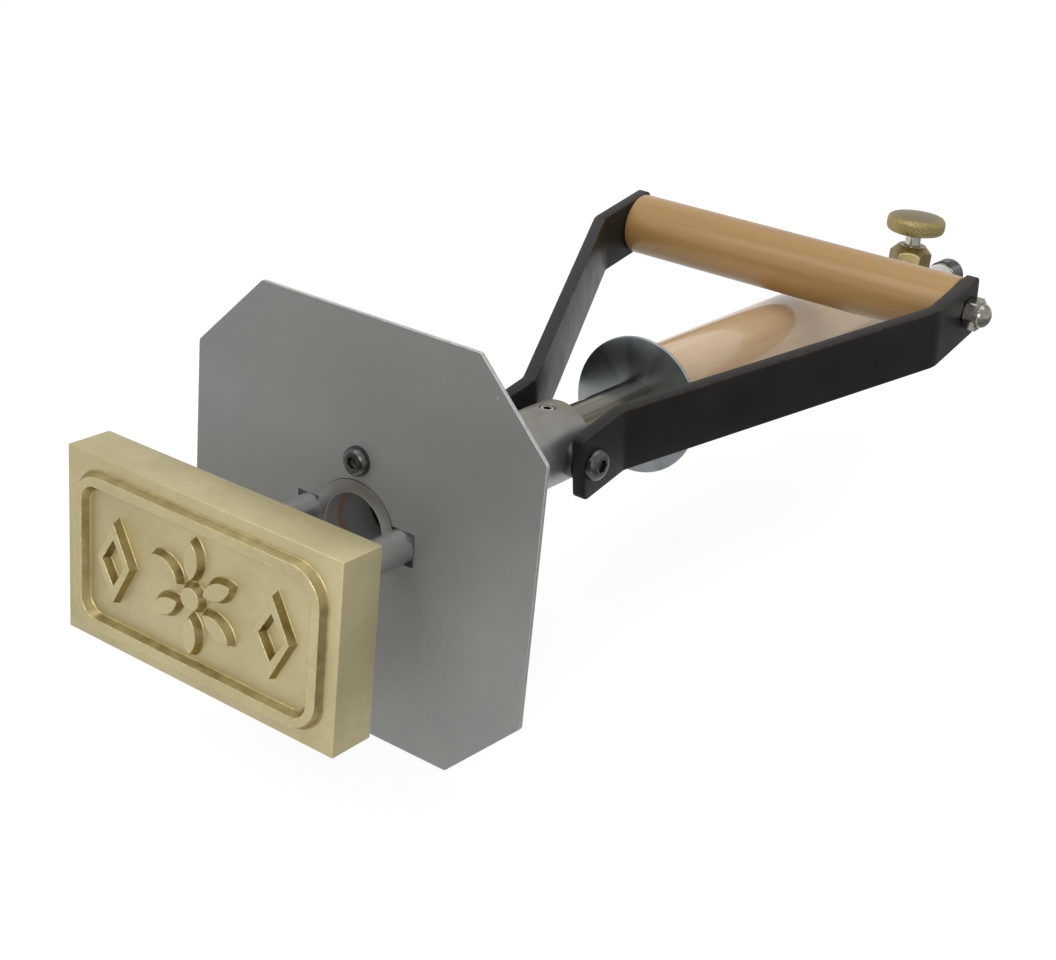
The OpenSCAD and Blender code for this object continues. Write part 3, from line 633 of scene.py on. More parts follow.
def piece(name, node, body, bm, materials, place=Matrix(), smooth=True):
    """Object from a bmesh, on its body, in place of its CAD node."""
    mesh = mesh_of(name, bm)
    if smooth:
        shade_smooth(mesh)
    for material in materials:
        mesh.materials.append(material)
    made = add_object(name, mesh)
    made.matrix_world = place
    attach(made, body)
    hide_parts(node)
    return made


def turned(name, node, body, outline, materials, place=Matrix(), ways=(Matrix(),), steps=96):
    """Piece from an outline turned around the local Z axis, once for each way that it is laid."""
    bm = bmesh.new()
    for way in ways:
        turn(bm, outline, way, steps)
    return piece(name, node, body, bm, materials, place)


CUT_STEPS = 48


def cut(made, cutters):
    """Cuts turned shapes out of a piece and leaves the result in its mesh."""
    for outline, place in cutters:
        bm = bmesh.new()
        turn(bm, outline, place, CUT_STEPS)
        tool = add_object("cutter", mesh_of("cutter", bm))
        tool.matrix_world = made.matrix_world
        step = made.modifiers.new("cut", "BOOLEAN")
        step.operation = "DIFFERENCE"
        step.solver = "EXACT"
        step.object = tool
        graph = bpy.context.evaluated_depsgraph_get()
        result = bpy.data.meshes.new_from_object(made.evaluated_get(graph))
        made.modifiers.remove(step)
        made.data = result
        bpy.data.objects.remove(tool)
    bm = bmesh.new()
    bm.from_mesh(made.data)
    bmesh.ops.remove_doubles(bm, verts=bm.verts, dist=MERGE)
    bm.to_mesh(made.data)
    bm.free()
    shade_smooth(made.data)


def hex_radius(angle, across):
    """Distance from a hexagon's centre to its outline, by its width across the flats."""
    part = (angle + pi / 6) % (pi / 3) - pi / 6
    return across / 2 / cos(part)


# Radius at a hexagon's blunted corners, as a share of that at sharp ones
HEX_CORNER = 0.985
# Slope of a nut's turned-down ends, and the radius where it starts as a share of the width across the flats
HEX_SLOPE = tan(radians(30))
NUT_LAND = 0.47
NUT_MOUTH = 0.4 * MM


def hexagon(angle, across):
    """Distance from a hexagon's centre to its outline, with blunted corners."""
    corner = across / 2 / cos(pi / 6) * HEX_CORNER
    return min(hex_radius(angle, across), corner)


def nut_sides(angle, across, height):
    """Flats of a nut with both ends turned down, from its lower face to its upper one."""
    land = across * NUT_LAND
    reach = hexagon(angle, across)
    drop = (reach - land) * HEX_SLOPE
    return [(land, 0), (reach, drop), (reach, height - drop), (land, height)]


def nut_outline(across, height, bore):
    """Nut around a bore with bevelled mouths."""
    mouth = bore + NUT_MOUTH

    def outline(angle):
        return [(bore, NUT_MOUTH), (mouth, 0), *nut_sides(angle, across, height), (mouth, height),
                (bore, height - NUT_MOUTH), (bore, NUT_MOUTH)]
    return outline


def dome(inner, foot, reach, rise, steps=10):
    """Quarter of an ellipse, from its foot at inner + reach to its top at inner."""
    angles = [radians(90 * i / steps) for i in range(steps + 1)]
    return [(inner + reach * cos(a), foot + rise * sin(a)) for a in angles]


# A button head's flat ring around its socket, its upright rim, and where the socket ends in its height
BUTTON_FLAT = 0.7 * MM
BUTTON_RIM = 0.5 * MM
BUTTON_FLOOR = 0.4
# A socket's bevel at its mouth, the drill's cone in its floor, the floor's share of its width, and the step
# around the floor
SOCKET_LIP = 0.15 * MM
SOCKET_TIP = 0.4 * MM
SOCKET_FLOOR = 0.9
SOCKET_STEP = 0.1 * MM


def button_outline(head_r, head_h, key, shank_r, shank):
    """Button head with a hexagon socket, standing on z = 0 with its shank below."""
    crown = key / 2 / cos(pi / 6) + BUTTON_FLAT
    floor = head_h * BUTTON_FLOOR
    domed = dome(crown, BUTTON_RIM, head_r - crown, head_h - BUTTON_RIM)[::-1]

    def outline(angle):
        socket = hex_radius(angle, key)
        return [(0, floor - SOCKET_TIP), (socket * SOCKET_FLOOR, floor), (socket, floor + SOCKET_STEP),
                (socket, head_h - SOCKET_LIP), (socket + SOCKET_LIP, head_h), *domed,
                (head_r, 0), (shank_r, 0), (shank_r, -shank), (0, -shank)]
    return outline


GRUB_BEVEL = 0.4 * MM
# Depth of a grub screw's socket, in radii, and the gap around the screw in its hole
GRUB_DEPTH = 1.2
GRUB_CLEAR = 0.1 * MM


def grub_outline(radius, length, key):
    """Headless screw with a hexagon socket in its upper end."""
    floor = length - radius * GRUB_DEPTH

    def outline(angle):
        socket = hex_radius(angle, key)
        return [(0, floor - SOCKET_TIP), (socket, floor), (socket, length), (radius - GRUB_BEVEL, length),
                (radius, length - GRUB_BEVEL), (radius, 0), (0, 0)]
    return outline


def thread_points(angle, crest, root, pitch, start, end):
    """Helical thread from start to end at one angle, from four points in each turn."""
    turn_shape = ((0.0, root), (0.14, root), (0.46, crest), (0.68, crest))
    turns = ceil((end - start) / pitch)
    points = []
    for k in range(-1, turns):
        for phase, radius in turn_shape:
            height = start + (k + phase + angle / TAU) * pitch
            inside = start < height < end
            points.append((radius if inside else root, min(max(height, start), end)))
    return points + [(root, end)]


# Pieces of the burner body

def box_sizes(node):
    low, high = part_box(node)
    return low, high, high - low


# The die's raised pattern: its height, the run of its sloping walls, the rounding at foot and top, how far
# the foot goes into the field, and how far a wall is drawn over the flat on top
RELIEF_H = 3 * MM
RELIEF_RUN = 1.2 * MM
RELIEF_FOOT = 0.55 * MM
RELIEF_TOP = 0.3 * MM
RELIEF_SINK = 0.05 * MM
RELIEF_LAND = RELIEF_TOP * 1.5
DIE_EDGE = 0.45 * MM
FRAME_MARGIN = 4.5 * MM
FRAME_W = 6 * MM
FRAME_R = 12 * MM
PETALS = 6
PETAL_L = 15 * MM
PETAL_W = 8 * MM
HUB_R = 5 * MM
PETAL_GAP = 0.3 * MM
LOZENGE_W = 17 * MM
LOZENGE_H = 30 * MM
LOZENGE_LINE = 4.6 * MM


def wall_steps():
    """(inset, distance in front of the field) along a sloping wall, from its foot to the flat on top."""
    corners = [(-RELIEF_FOOT, -RELIEF_SINK, 0), (0, 0, RELIEF_FOOT), (RELIEF_RUN, RELIEF_H, RELIEF_TOP),
               (RELIEF_RUN + RELIEF_LAND, RELIEF_H, 0)]
    return [(inset, height) for inset, height, _ in rounded(corners)]


def scaled_loop(outline, width, height, inset, y, place):
    """Outline drawn in by an inset on all sides, standing at y in front of the die."""
    wide = 1 - 2 * inset / width
    high = 1 - 2 * inset / height
    return [place @ Vector((x * wide, y, z * high)) for x, z in outline]


# Faces along a wall, counted from its top, that wear has made bright and that carry a painted highlight: on
# a solid land and on a raised line
WORN_LIT_SOLID = 3
WORN_LIT_LINE = 4


def solid_land(bm, outline, width, height, place=Matrix()):
    loops = [scaled_loop(outline, width, height, inset, RELIEF_H - rise, place)
             for inset, rise in wall_steps()]
    worn_lit_from = len(loops) - 1 - WORN_LIT_SOLID
    skin(bm, loops, lambda k, i: 1 if k >= worn_lit_from else 2)


def open_land(bm, outer, outer_size, inner, inner_size, place=Matrix()):
    """Raised line between two outlines that have as many points."""
    walls = wall_steps()
    outside = [scaled_loop(outer, *outer_size, inset, RELIEF_H - rise, place) for inset, rise in walls]
    inside = [scaled_loop(inner, *inner_size, -inset, RELIEF_H - rise, place) for inset, rise in walls]
    top = len(outside) - 1

    def finish_of(k, i):
        from_top = abs(k - top)
        if from_top == 0:
            return 0
        return 1 if from_top <= WORN_LIT_LINE else 2
    skin(bm, outside + inside[::-1] + outside[:1], finish_of, close_ends=False)


def round_rect(width, height, radius, steps=10):
    x = width / 2 - radius
    z = height / 2 - radius
    return (arc((x, z), radius, 0, 90, steps) + arc((-x, z), radius, 90, 180, steps)
            + arc((-x, -z), radius, 180, 270, steps) + arc((x, -z), radius, 270, 360, steps))


def petal_outline(length, width, steps=14):
    """Pointed petal around its middle, along Z."""
    radius = (length ** 2 + width ** 2) / (4 * width)
    half = degrees(asin(length / (2 * radius)))
    right = arc((width / 2 - radius, 0), radius, -half, half, steps)
    left = arc((radius - width / 2, 0), radius, 180 - half, 180 + half, steps)
    return right[:-1] + left[:-1]


def diamond(width, height, steps=6):
    corners = [(width / 2, 0), (0, height / 2), (-width / 2, 0), (0, -height / 2)]
    outline = []
    for (x, z), (far_x, far_z) in zip(corners, corners[1:] + corners[:1]):
        outline += [(x + (far_x - x) * i / steps, z + (far_z - z) * i / steps) for i in range(steps)]
    return outline


def branding_die(materials):
    low, high, size = box_sizes("brand_die")
    bm = bmesh.new()
    block = Matrix.Diagonal((size.x, size.y - RELIEF_H, size.z, 1))
    bmesh.ops.create_cube(bm, size=1, matrix=at(0, (low.y + RELIEF_H + high.y) / 2, 0) @ block)
    bmesh.ops.bevel(bm, geom=bm.edges[:], offset=DIE_EDGE, offset_type="OFFSET", segments=3, profile=0.5,
                    affect="EDGES", material=0)
    wide, tall = size.x - 2 * FRAME_MARGIN, size.z - 2 * FRAME_MARGIN
    inner_wide, inner_tall = wide - 2 * FRAME_W, tall - 2 * FRAME_W
    open_land(bm, round_rect(wide, tall, FRAME_R), (wide, tall),
              round_rect(inner_wide, inner_tall, FRAME_R - FRAME_W), (inner_wide, inner_tall))
    solid_land(bm, arc((0, 0), HUB_R, 0, 360, 48)[:-1], 2 * HUB_R, 2 * HUB_R)
    petal = petal_outline(PETAL_L, PETAL_W)
    for i in range(PETALS):
        place = Matrix.Rotation(TAU * i / PETALS, 4, "Y") @ at(0, 0, HUB_R + PETAL_GAP + PETAL_L / 2)
        solid_land(bm, petal, PETAL_W, PETAL_L, place)
    hole_w = LOZENGE_W - 2 * LOZENGE_LINE
    hole_h = hole_w * LOZENGE_H / LOZENGE_W
    reach = HUB_R + PETAL_GAP + PETAL_L
    for side in (-1, 1):
        open_land(bm, diamond(LOZENGE_W, LOZENGE_H), (LOZENGE_W, LOZENGE_H), diamond(hole_w, hole_h),
                  (hole_w, hole_h), at(side * (reach + inner_wide / 2) / 2, 0, 0))
    piece("branding_die", "brand_die", "burner", bm, materials)


ROD_STUD_L = 11 * MM
ROD_EDGE = 0.8 * MM


def die_rod(name, node, material):
    low, high, size = box_sizes(node)
    radius = size.x / 2
    length = size.y - ROD_STUD_L
    outline = rounded([(0, 0, 0), (radius, 0, ROD_EDGE), (radius, length, ROD_EDGE), (0, length, 0)])
    place = at((low.x + high.x) / 2, low.y + ROD_STUD_L, 0) @ ALONG_Y
    turned(name, node, "burner", outline, [material] * 2, place, steps=64)


SHIELD_CUT = 28.75 * MM
SHIELD_CORNER = 0.8 * MM
SHIELD_EDGE = 0.2 * MM
SHIELD_CLEAR = 0.12 * MM
HEAD_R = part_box("burner_holder")[1].x
MOUTH_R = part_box("flame_head")[1].x


def head_opening(head_r, slot_x, slot_z):
    """Outline of a round hole with a slot across it."""
    meet = degrees(asin(slot_z / head_r))
    over = arc((0, 0), head_r, meet, 180 - meet, 32)
    under = arc((0, 0), head_r, 180 + meet, 360 - meet, 32)
    return [(slot_x, slot_z), *over, (-slot_x, slot_z), (-slot_x, -slot_z), *under, (slot_x, -slot_z)]


def shield_pieces(materials):
    """Shield with cut corners, and the flange behind it that carries it on the holder."""
    _, rod_high, rod = box_sizes("die_rod_right")
    opening = head_opening(HEAD_R + SHIELD_CLEAR, rod_high.x + SHIELD_CLEAR, rod.z / 2 + SHIELD_CLEAR)
    low, high, size = box_sizes("heat_shield")
    x, z = size.x / 2, size.z / 2
    corners = [(x, z - SHIELD_CUT), (x - SHIELD_CUT, z), (SHIELD_CUT - x, z), (-x, z - SHIELD_CUT),
               (-x, SHIELD_CUT - z), (SHIELD_CUT - x, -z), (x - SHIELD_CUT, -z), (x, SHIELD_CUT - z)]
    curves = rounded([(*corner, SHIELD_CORNER) for corner in corners], closed=True)
    outline = [(px, pz) for px, pz, _ in curves[:-1]]
    bm = upright_plate([outline, opening], size.y, SHIELD_EDGE)
    piece("shield_plate", "heat_shield", "burner", bm, materials,
          at(0, (low.y + high.y) / 2, 0), smooth=False)
    low, high, size = box_sizes("shield_flange")
    outline = arc((0, 0), size.x / 2, 0, 360, 128)[:-1]
    bm = upright_plate([outline, opening], size.y, SHIELD_EDGE)
    piece("shield_ring", "shield_flange", "burner", bm, materials,
          at(0, (low.y + high.y) / 2, 0))


SHIELD_SCREW_D = 6 * MM
SHIELD_HEAD_D = 10.5 * MM
SHIELD_HEAD_H = 3.3 * MM
SHIELD_KEY = 4 * MM


def shield_screw_pair(material):
    low, high, size = box_sizes("shield_screws")
    outline = button_outline(SHIELD_HEAD_D / 2, SHIELD_HEAD_H, SHIELD_KEY, SHIELD_SCREW_D / 2,
                             size.y - SHIELD_HEAD_H)
    ways = [at(0, low.y + SHIELD_HEAD_H, z) @ FACING_FRONT
            for z in (low.z + SHIELD_HEAD_D / 2, high.z - SHIELD_HEAD_D / 2)]
    turned("shield_screw_pair", "shield_screws", "burner", outline, [material],
           ways=ways, steps=72)


HEAD_L = 18 * MM
SLEEVE_R = 16 * MM
# Rounding of the holder's mouth, of its head in front and behind, and of its rear end outside and inside
MOUTH_EDGE = 0.4 * MM
FRONT_EDGE = 0.15 * MM
HEAD_EDGE = 0.7 * MM
REAR_EDGE = 1.0 * MM
REAR_BORE_EDGE = 0.6 * MM
PIVOT = Vector(next(joint["pos_m"] for joint in frame["joints"] if joint["name"] == "yoke_tilt"))
TUBE_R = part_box("burner_tube")[1].x
GRUB_KEY = 3 * MM
GRUB_HOLE_BEVEL = 0.6 * MM


def sleeve(material, screw_material):
    """Burner holder: thick head with a bevelled mouth, long sleeve, and a grub screw in a bevelled hole."""
    low, _, size = box_sizes("burner_holder")
    mouth_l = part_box("flame_head")[1].y - low.y
    outline = rounded([(MOUTH_R, mouth_l, 0), (MOUTH_R, 0, MOUTH_EDGE), (HEAD_R, 0, FRONT_EDGE),
                       (HEAD_R, HEAD_L, HEAD_EDGE), (SLEEVE_R, HEAD_L, 0), (SLEEVE_R, size.y, REAR_EDGE),
                       (TUBE_R, size.y, REAR_BORE_EDGE), (TUBE_R, mouth_l, 0), (MOUTH_R, mouth_l, 0)])
    made = turned("burner_sleeve", "burner_holder", "burner", outline, [material] * 2,
                  ways=[at(0, low.y, 0) @ ALONG_Y], steps=128)
    low, _, size = box_sizes("holder_set_screw")
    hole_r = size.x / 2 + GRUB_CLEAR
    over = SLEEVE_R + GRUB_HOLE_BEVEL
    hole = [(0, low.z), (hole_r, low.z), (hole_r, SLEEVE_R - GRUB_HOLE_BEVEL),
            (hole_r + 2 * GRUB_HOLE_BEVEL, over), (0, over)]
    cut(made, [(hole, at(0, PIVOT.y, 0))])
    turned("sleeve_grub_screw", "holder_set_screw", "burner",
           grub_outline(size.x / 2, size.z, GRUB_KEY), [screw_material],
           ways=[at(0, PIVOT.y, low.z)], steps=48)


TUBE_WALL = 2 * MM
TUBE_EDGE = 0.4 * MM
PORT_Y = 213 * MM
PORT_R = 4 * MM
# Angles of the air ports around the tube, counted from straight down
PORT_ANGLES = (-60, 0, 60)


def tube(material):
    low, _, size = box_sizes("burner_tube")
    inner = TUBE_R - TUBE_WALL
    outline = rounded([(inner, 0, 0), (TUBE_R, 0, TUBE_EDGE), (TUBE_R, size.y, TUBE_EDGE),
                       (inner, size.y, TUBE_EDGE), (inner, 0, 0)])
    made = turned("tube", "burner_tube", "burner", outline, [material],
                  at(0, low.y, 0) @ ALONG_Y)
    port = [(0, 0), (PORT_R, 0), (PORT_R, 2 * TUBE_R), (0, 2 * TUBE_R)]
    turns = [Matrix.Rotation(radians(90 + angle), 4, "Z") @ ALONG_X for angle in PORT_ANGLES]
    cut(made, [(port, at(0, 0, PORT_Y - low.y) @ way) for way in turns])


RING_BORE_EDGE = 0.05 * MM


def ring(name, node, material, edge):
    """Turned disc or washer around the tube."""
    low, _, size = box_sizes(node)
    outline = hollow(TUBE_R, size.x / 2, size.y, RING_BORE_EDGE, edge)
    turned(name, node, "burner", outline, [material] * 2, at(0, low.y, 0) @ ALONG_Y,
           steps=144)


GRIP_EDGE = 3 * MM
CROSS_EDGE = 1.5 * MM
HANDLE_BORE_EDGE = 0.4 * MM
TIE_R = 4 * MM


def handle(name, node, body, material, radius, length, edge, bore, place):
    outline = hollow(bore, radius, length, HANDLE_BORE_EDGE, edge, 8)
    turned(name, node, body, outline, [material] * 2, place, steps=144)


def grip(material):
    low, _, size = box_sizes("inline_handle")
    handle("grip", "inline_handle", "burner", material, size.x / 2, size.y, GRIP_EDGE, TUBE_R,
           at(0, low.y, 0) @ ALONG_Y)


GRIP_NUT = 30 * MM


def grip_nut(material):
    low, _, size = box_sizes("handle_nut")
    outline = nut_outline(GRIP_NUT, size.y, TUBE_R)
    turned("grip_nut", "handle_nut", "burner", outline, [material], at(0, low.y, 0) @ ALONG_Y,
           steps=144)


BONNET_HEX = 19 * MM
BONNET_H = 12.5 * MM
BONNET_TURN = radians(20)
BONNET_LAND = 7 * MM
BONNET_LIP = 0.4 * MM
BONNET_EDGE = 0.5 * MM
VALVE_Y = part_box("valve_stem")[0].y / 2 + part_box("valve_stem")[1].y / 2
STEM_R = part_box("valve_stem")[1].x


def bonnet(material):
    """Hexagon with a cone on top, around the stem."""
    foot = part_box("valve_bonnet")[1].z - BONNET_H

    def outline(angle):
        reach = hexagon(angle, BONNET_HEX)
        shoulder = BONNET_H - (reach - BONNET_LAND)
        cone = rounded([(BONNET_LAND, BONNET_H, 0), (reach, shoulder, BONNET_EDGE), (reach, BONNET_LIP, 0)])
        return [(STEM_R, BONNET_H - BONNET_LIP), (STEM_R + BONNET_LIP, BONNET_H), *cone,
                (reach - BONNET_LIP, 0), (STEM_R, 0), (STEM_R, BONNET_H - BONNET_LIP)]
    turned("bonnet", "valve_bonnet", "burner", outline, [material] * 2, at(0, VALVE_Y, foot),
           [Matrix.Rotation(BONNET_TURN - pi / 2, 4, "Z")], 144)


NEEDLE_L = 6 * MM
NEEDLE_TIP_R = 0.6 * MM
NEEDLE_EDGE = 1 * MM
STEM_EDGE = 0.3 * MM


def stem(material):
    low, _, size = box_sizes("valve_stem")
    outline = rounded([(0, 0, 0), (NEEDLE_TIP_R, 0, 0), (STEM_R, NEEDLE_L, NEEDLE_EDGE),
                       (STEM_R, size.z, STEM_EDGE), (0, size.z, 0)])
    turned("stem", "valve_stem", "stem", outline, [material] * 2, at(0, VALVE_Y, low.z),
           steps=64)


KNOB_EDGE = 3 * MM
KNOB_CROWN = 1 * MM
RIM_STEPS = 8
KNURL_COUNT = 44
KNURL_DEPTH = 0.25 * MM
KNURL_RISE = 2.4 * MM
# Bounds of the knurl: from each face of the knob, and in from its rim
KNURL_MARGIN = KNOB_EDGE * 0.3
KNURL_REACH = KNOB_EDGE * 0.8
KNOB_FLOOR = 2 * MM
KNOB_MOUTH = 0.4 * MM
KNOB_KEY = 2 * MM


def zigzag(value):
    return abs(2 * (value % 1) - 1)


def knob(material, screw_material):
    """Round knob with a crowned top, a diamond knurl on its rim and a grub screw in its back."""
    low, _, size = box_sizes("valve_knob")
    radius, height = size.x / 2, size.z - KNOB_CROWN
    socket = height - KNOB_FLOOR
    flat = radius - KNOB_EDGE
    crown_r = (flat ** 2 + KNOB_CROWN ** 2) / (2 * KNOB_CROWN) + KNOB_EDGE
    lean = 90 - degrees(asin(flat / (crown_r - KNOB_EDGE)))
    rim = [(radius, KNOB_EDGE + (height - 2 * KNOB_EDGE) * i / RIM_STEPS) for i in range(1, RIM_STEPS)]
    profile = [(0, socket), (STEM_R, socket), (STEM_R, KNOB_MOUTH), (STEM_R + KNOB_MOUTH, 0),
               *arc((flat, KNOB_EDGE), KNOB_EDGE, -90, 0, 12), *rim,
               *arc((flat, height - KNOB_EDGE), KNOB_EDGE, 0, lean, 12),
               *arc((0, size.z - crown_r), crown_r, lean, 90, 8)[1:]]

    def outline(angle):
        points = []
        for r, z in profile:
            on_rim = r > radius - KNURL_REACH and KNURL_MARGIN < z < height - KNURL_MARGIN
            turns = KNURL_COUNT * angle / TAU
            groove = max(zigzag(turns + z / KNURL_RISE), zigzag(turns - z / KNURL_RISE)) if on_rim else 0
            points.append((r - KNURL_DEPTH * groove ** 2, z))
        return points
    made = turned("knob", "valve_knob", "knob", outline, [material], at(0, VALVE_Y, low.z),
                  steps=KNURL_COUNT * 6)
    low, high, size = box_sizes("knob_set_screw")
    hole_r = size.x / 2 + GRUB_CLEAR
    start = low.y - VALVE_Y
    hole = [(0, start), (hole_r, start), (hole_r, 2 * radius), (0, 2 * radius)]
    cut(made, [(hole, at(0, 0, height / 2) @ ALONG_Y)])
    turned("knob_grub_screw", "knob_set_screw", "knob",
           grub_outline(size.x / 2, size.y, KNOB_KEY), [screw_material],
           ways=[at(0, low.y, (low.z + high.z) / 2) @ ALONG_Y], steps=48)


INLET_R = 7.5 * MM
INLET_SMOOTH = 33 * MM
SPIGOT_R = 5.5 * MM
SPIGOT_L = 10 * MM
GAS_WAY_R = 2 * MM
INLET_CONE = 5.5 * MM
INLET_PITCH = 1.34 * MM
INLET_THREAD_DEPTH = 0.85 * MM
INLET_EDGE = 0.5 * MM
# Ring groove before the thread: where the neck ends, the length of its floor, and its depth under the root
GROOVE_LEAD = 1.5 * MM
GROOVE_L = 0.8 * MM
GROOVE_DEPTH = 0.2 * MM
# Plain end behind the thread, and the bevel around the mouth
INLET_END = 0.6 * MM
INLET_BEVEL = 0.3 * MM


def inlet(materials):
    """Hose inlet: smooth neck, ring groove, gas thread coloured dark as painted shade for its grooves, and
    a cone in its mouth.
    """
    low, high, size = box_sizes("hose_inlet")
    crest = size.x / 2
    root = crest - INLET_THREAD_DEPTH
    total = size.y - SPIGOT_L
    groove = root - GROOVE_DEPTH
    curves = rounded([(GAS_WAY_R, -SPIGOT_L, 0), (SPIGOT_R, -SPIGOT_L, 0), (SPIGOT_R, 0, 0),
                      (INLET_R, 0, INLET_EDGE), (INLET_R, INLET_SMOOTH - GROOVE_LEAD, INLET_EDGE),
                      (groove, INLET_SMOOTH - GROOVE_L, 0), (groove, INLET_SMOOTH, 0)])
    neck = [(r, z) for r, z, _ in curves]
    mouth = [(root, total - INLET_BEVEL), (root - INLET_BEVEL, total), (SPIGOT_R, total),
             (GAS_WAY_R, total - INLET_CONE), (GAS_WAY_R, -SPIGOT_L)]

    def outline(angle):
        helix = thread_points(angle, crest, root, INLET_PITCH, INLET_SMOOTH, total - INLET_END)
        # The thread faces take the second finish, dark oxide, as painted shade.
        return neck + [(r, z, True) for r, z in helix] + mouth
    place = at(0, low.y + SPIGOT_L, (low.z + high.z) / 2) @ ALONG_Y
    turned("inlet", "hose_inlet", "burner", outline, materials, place)


PIVOT_D = 8 * MM
PIVOT_HEAD_D = 13 * MM
PIVOT_HEAD_H = 3.6 * MM
PIVOT_KEY = 5 * MM
# Depth of the spacers in the sleeve, and the rounding of their outer edge
COLLAR_SINK = 1 * MM
COLLAR_EDGE = 0.4 * MM


def pivot_pieces(material, collar_material):
    """Screws that the yoke turns on, and the spacers behind its arms."""
    def both_sides(x):
        return [side @ at(x, PIVOT.y, PIVOT.z) @ ALONG_X for side in (Matrix(), MIRROR_X)]
    head_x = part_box("pivot_screws")[1].x - PIVOT_HEAD_H
    outline = button_outline(PIVOT_HEAD_D / 2, PIVOT_HEAD_H, PIVOT_KEY, PIVOT_D / 2, head_x - TUBE_R)
    turned("pivot_screw_pair", "pivot_screws", "burner", outline, [material],
           ways=both_sides(head_x), steps=72)
    _, high, size = box_sizes("pivot_spacers")
    inner = SLEEVE_R - COLLAR_SINK
    length = high.x - inner
    bore, radius = PIVOT_D / 2, size.z / 2
    collar = rounded([(bore, 0, 0), (radius, 0, 0), (radius, length, COLLAR_EDGE), (bore, length, 0),
                      (bore, 0, 0)])
    turned("pivot_collars", "pivot_spacers", "burner", collar, [collar_material] * 2,
           ways=both_sides(inner), steps=72)


# Pieces of the yoke, drawn with its pivot at the origin and its arms along +Y

CROSS_LOW, CROSS_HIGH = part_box("cross_handle")
CROSS_AT = (CROSS_LOW + CROSS_HIGH) / 2 - PIVOT
CROSS_BACK = CROSS_AT.length
ON_YOKE = Matrix.Translation(PIVOT) @ Matrix.Rotation(atan2(CROSS_AT.z, CROSS_AT.y), 4, "X")
AT_CROSS = ON_YOKE @ at(0, CROSS_BACK, 0)
CROSS_X = CROSS_HIGH.x
ARM_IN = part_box("yoke_arm_right")[0].x
ARM_OUT_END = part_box("yoke_arm_right")[1].x
ARM_T = ARM_OUT_END - CROSS_X
ARM_H = 27 * MM
ARM_NOSE = 7.5 * MM
ARM_STRAIGHT = 21 * MM
ARM_TAIL = 9.5 * MM
ARM_CORNER = 3 * MM
ARM_EDGE = 0.7 * MM
ARM_EDGE_STEPS = 3
BEND_STEPS = 10
BEND_R = 7 * MM
BEND_LEAD = 29 * MM


def arm_path():
    """(point, direction to the outer face) along the middle of the right arm, with its two bends."""
    middle_r = BEND_R + ARM_T / 2
    far_r = BEND_R + ARM_T
    bend = CROSS_BACK - BEND_LEAD
    flare = atan((CROSS_X - ARM_IN) / (bend - ARM_STRAIGHT))
    half = tan(flare / 2)
    first = Vector((ARM_IN + far_r, ARM_STRAIGHT - far_r * half))
    second = Vector((CROSS_X - BEND_R, bend + BEND_R * half))
    outward = Vector((1, 0))
    path = [(Vector((ARM_IN + ARM_T / 2, -ARM_NOSE)), outward)]
    for i in range(BEND_STEPS + 1):
        angle = flare * i / BEND_STEPS
        ray = Vector((-cos(angle), sin(angle)))
        path.append((first + ray * middle_r, -ray))
    for i in range(BEND_STEPS + 1):
        angle = flare * (1 - i / BEND_STEPS)
        ray = Vector((cos(angle), -sin(angle)))
        path.append((second + ray * middle_r, ray))
    path.append((Vector((CROSS_X + ARM_T / 2, CROSS_BACK + ARM_TAIL)), outward))
    return path


def end_steps():
    """Stations over the rounded corners at a bar's end.

    Each is the distance from the end, the loss of half the height there and that of half the thickness.
    """
    found = []
    for share in (0, 0.05, 0.15, 0.3, 0.5, 0.75, 1):
        d = share * ARM_CORNER
        corner = ARM_CORNER - sqrt(ARM_CORNER ** 2 - (ARM_CORNER - d) ** 2)
        rim = ARM_EDGE - sqrt(ARM_EDGE ** 2 - max(ARM_EDGE - d, 0) ** 2)
        found.append((d, corner, rim))
    return found


def arm(name, node, materials, mirrored):
    path = arm_path()
    start, end = path[0], path[-1]
    forward = Vector((0, 1))
    stations = [(start[0] + forward * d, start[1], corner, rim) for d, corner, rim in end_steps()]
    stations += [(point, outward, 0, 0) for point, outward in path[1:-1]]
    stations += [(end[0] - forward * d, end[1], corner, rim) for d, corner, rim in end_steps()[::-1]]
    loops = []
    for point, outward, corner, rim in stations:
        shape = round_rect(ARM_T - 2 * rim, ARM_H - 2 * corner, ARM_EDGE, ARM_EDGE_STEPS)
        loops.append([Vector((point.x + outward.x * t, point.y + outward.y * t, z)) for t, z in shape])
    bm = bmesh.new()
    skin(bm, loops, lambda k, i: int((i + 1) % (ARM_EDGE_STEPS + 1) != 0))
    if mirrored:
        bmesh.ops.transform(bm, matrix=MIRROR_X, verts=bm.verts)
    piece(name, node, "yoke", bm, materials, ON_YOKE)


def cross_grip(material):
    handle("cross_grip", "cross_handle", "yoke", material, (CROSS_HIGH.z - CROSS_LOW.z) / 2, 2 * CROSS_X,
           CROSS_EDGE, TIE_R, AT_CROSS @ at(-CROSS_X, 0, 0) @ ALONG_X)


TIE_PITCH = 1.25 * MM
TIE_THREAD_DEPTH = 0.7 * MM
TIE_THREAD_L = 12 * MM
TIE_SHANK_R = TIE_R - 0.1 * MM
TIE_BEVEL = 0.8 * MM
TIE_NUT = 13 * MM
TIE_NUT_H = 6 * MM
TIE_DOME_R = 5.5 * MM


def cap_nut_outline(across, height, dome_r, dome_h):
    """Closed nut with a dome over it."""
    domed = dome(0, height, dome_r, dome_h)

    def outline(angle):
        return [(0, 0), *nut_sides(angle, across, height), *domed]
    return outline


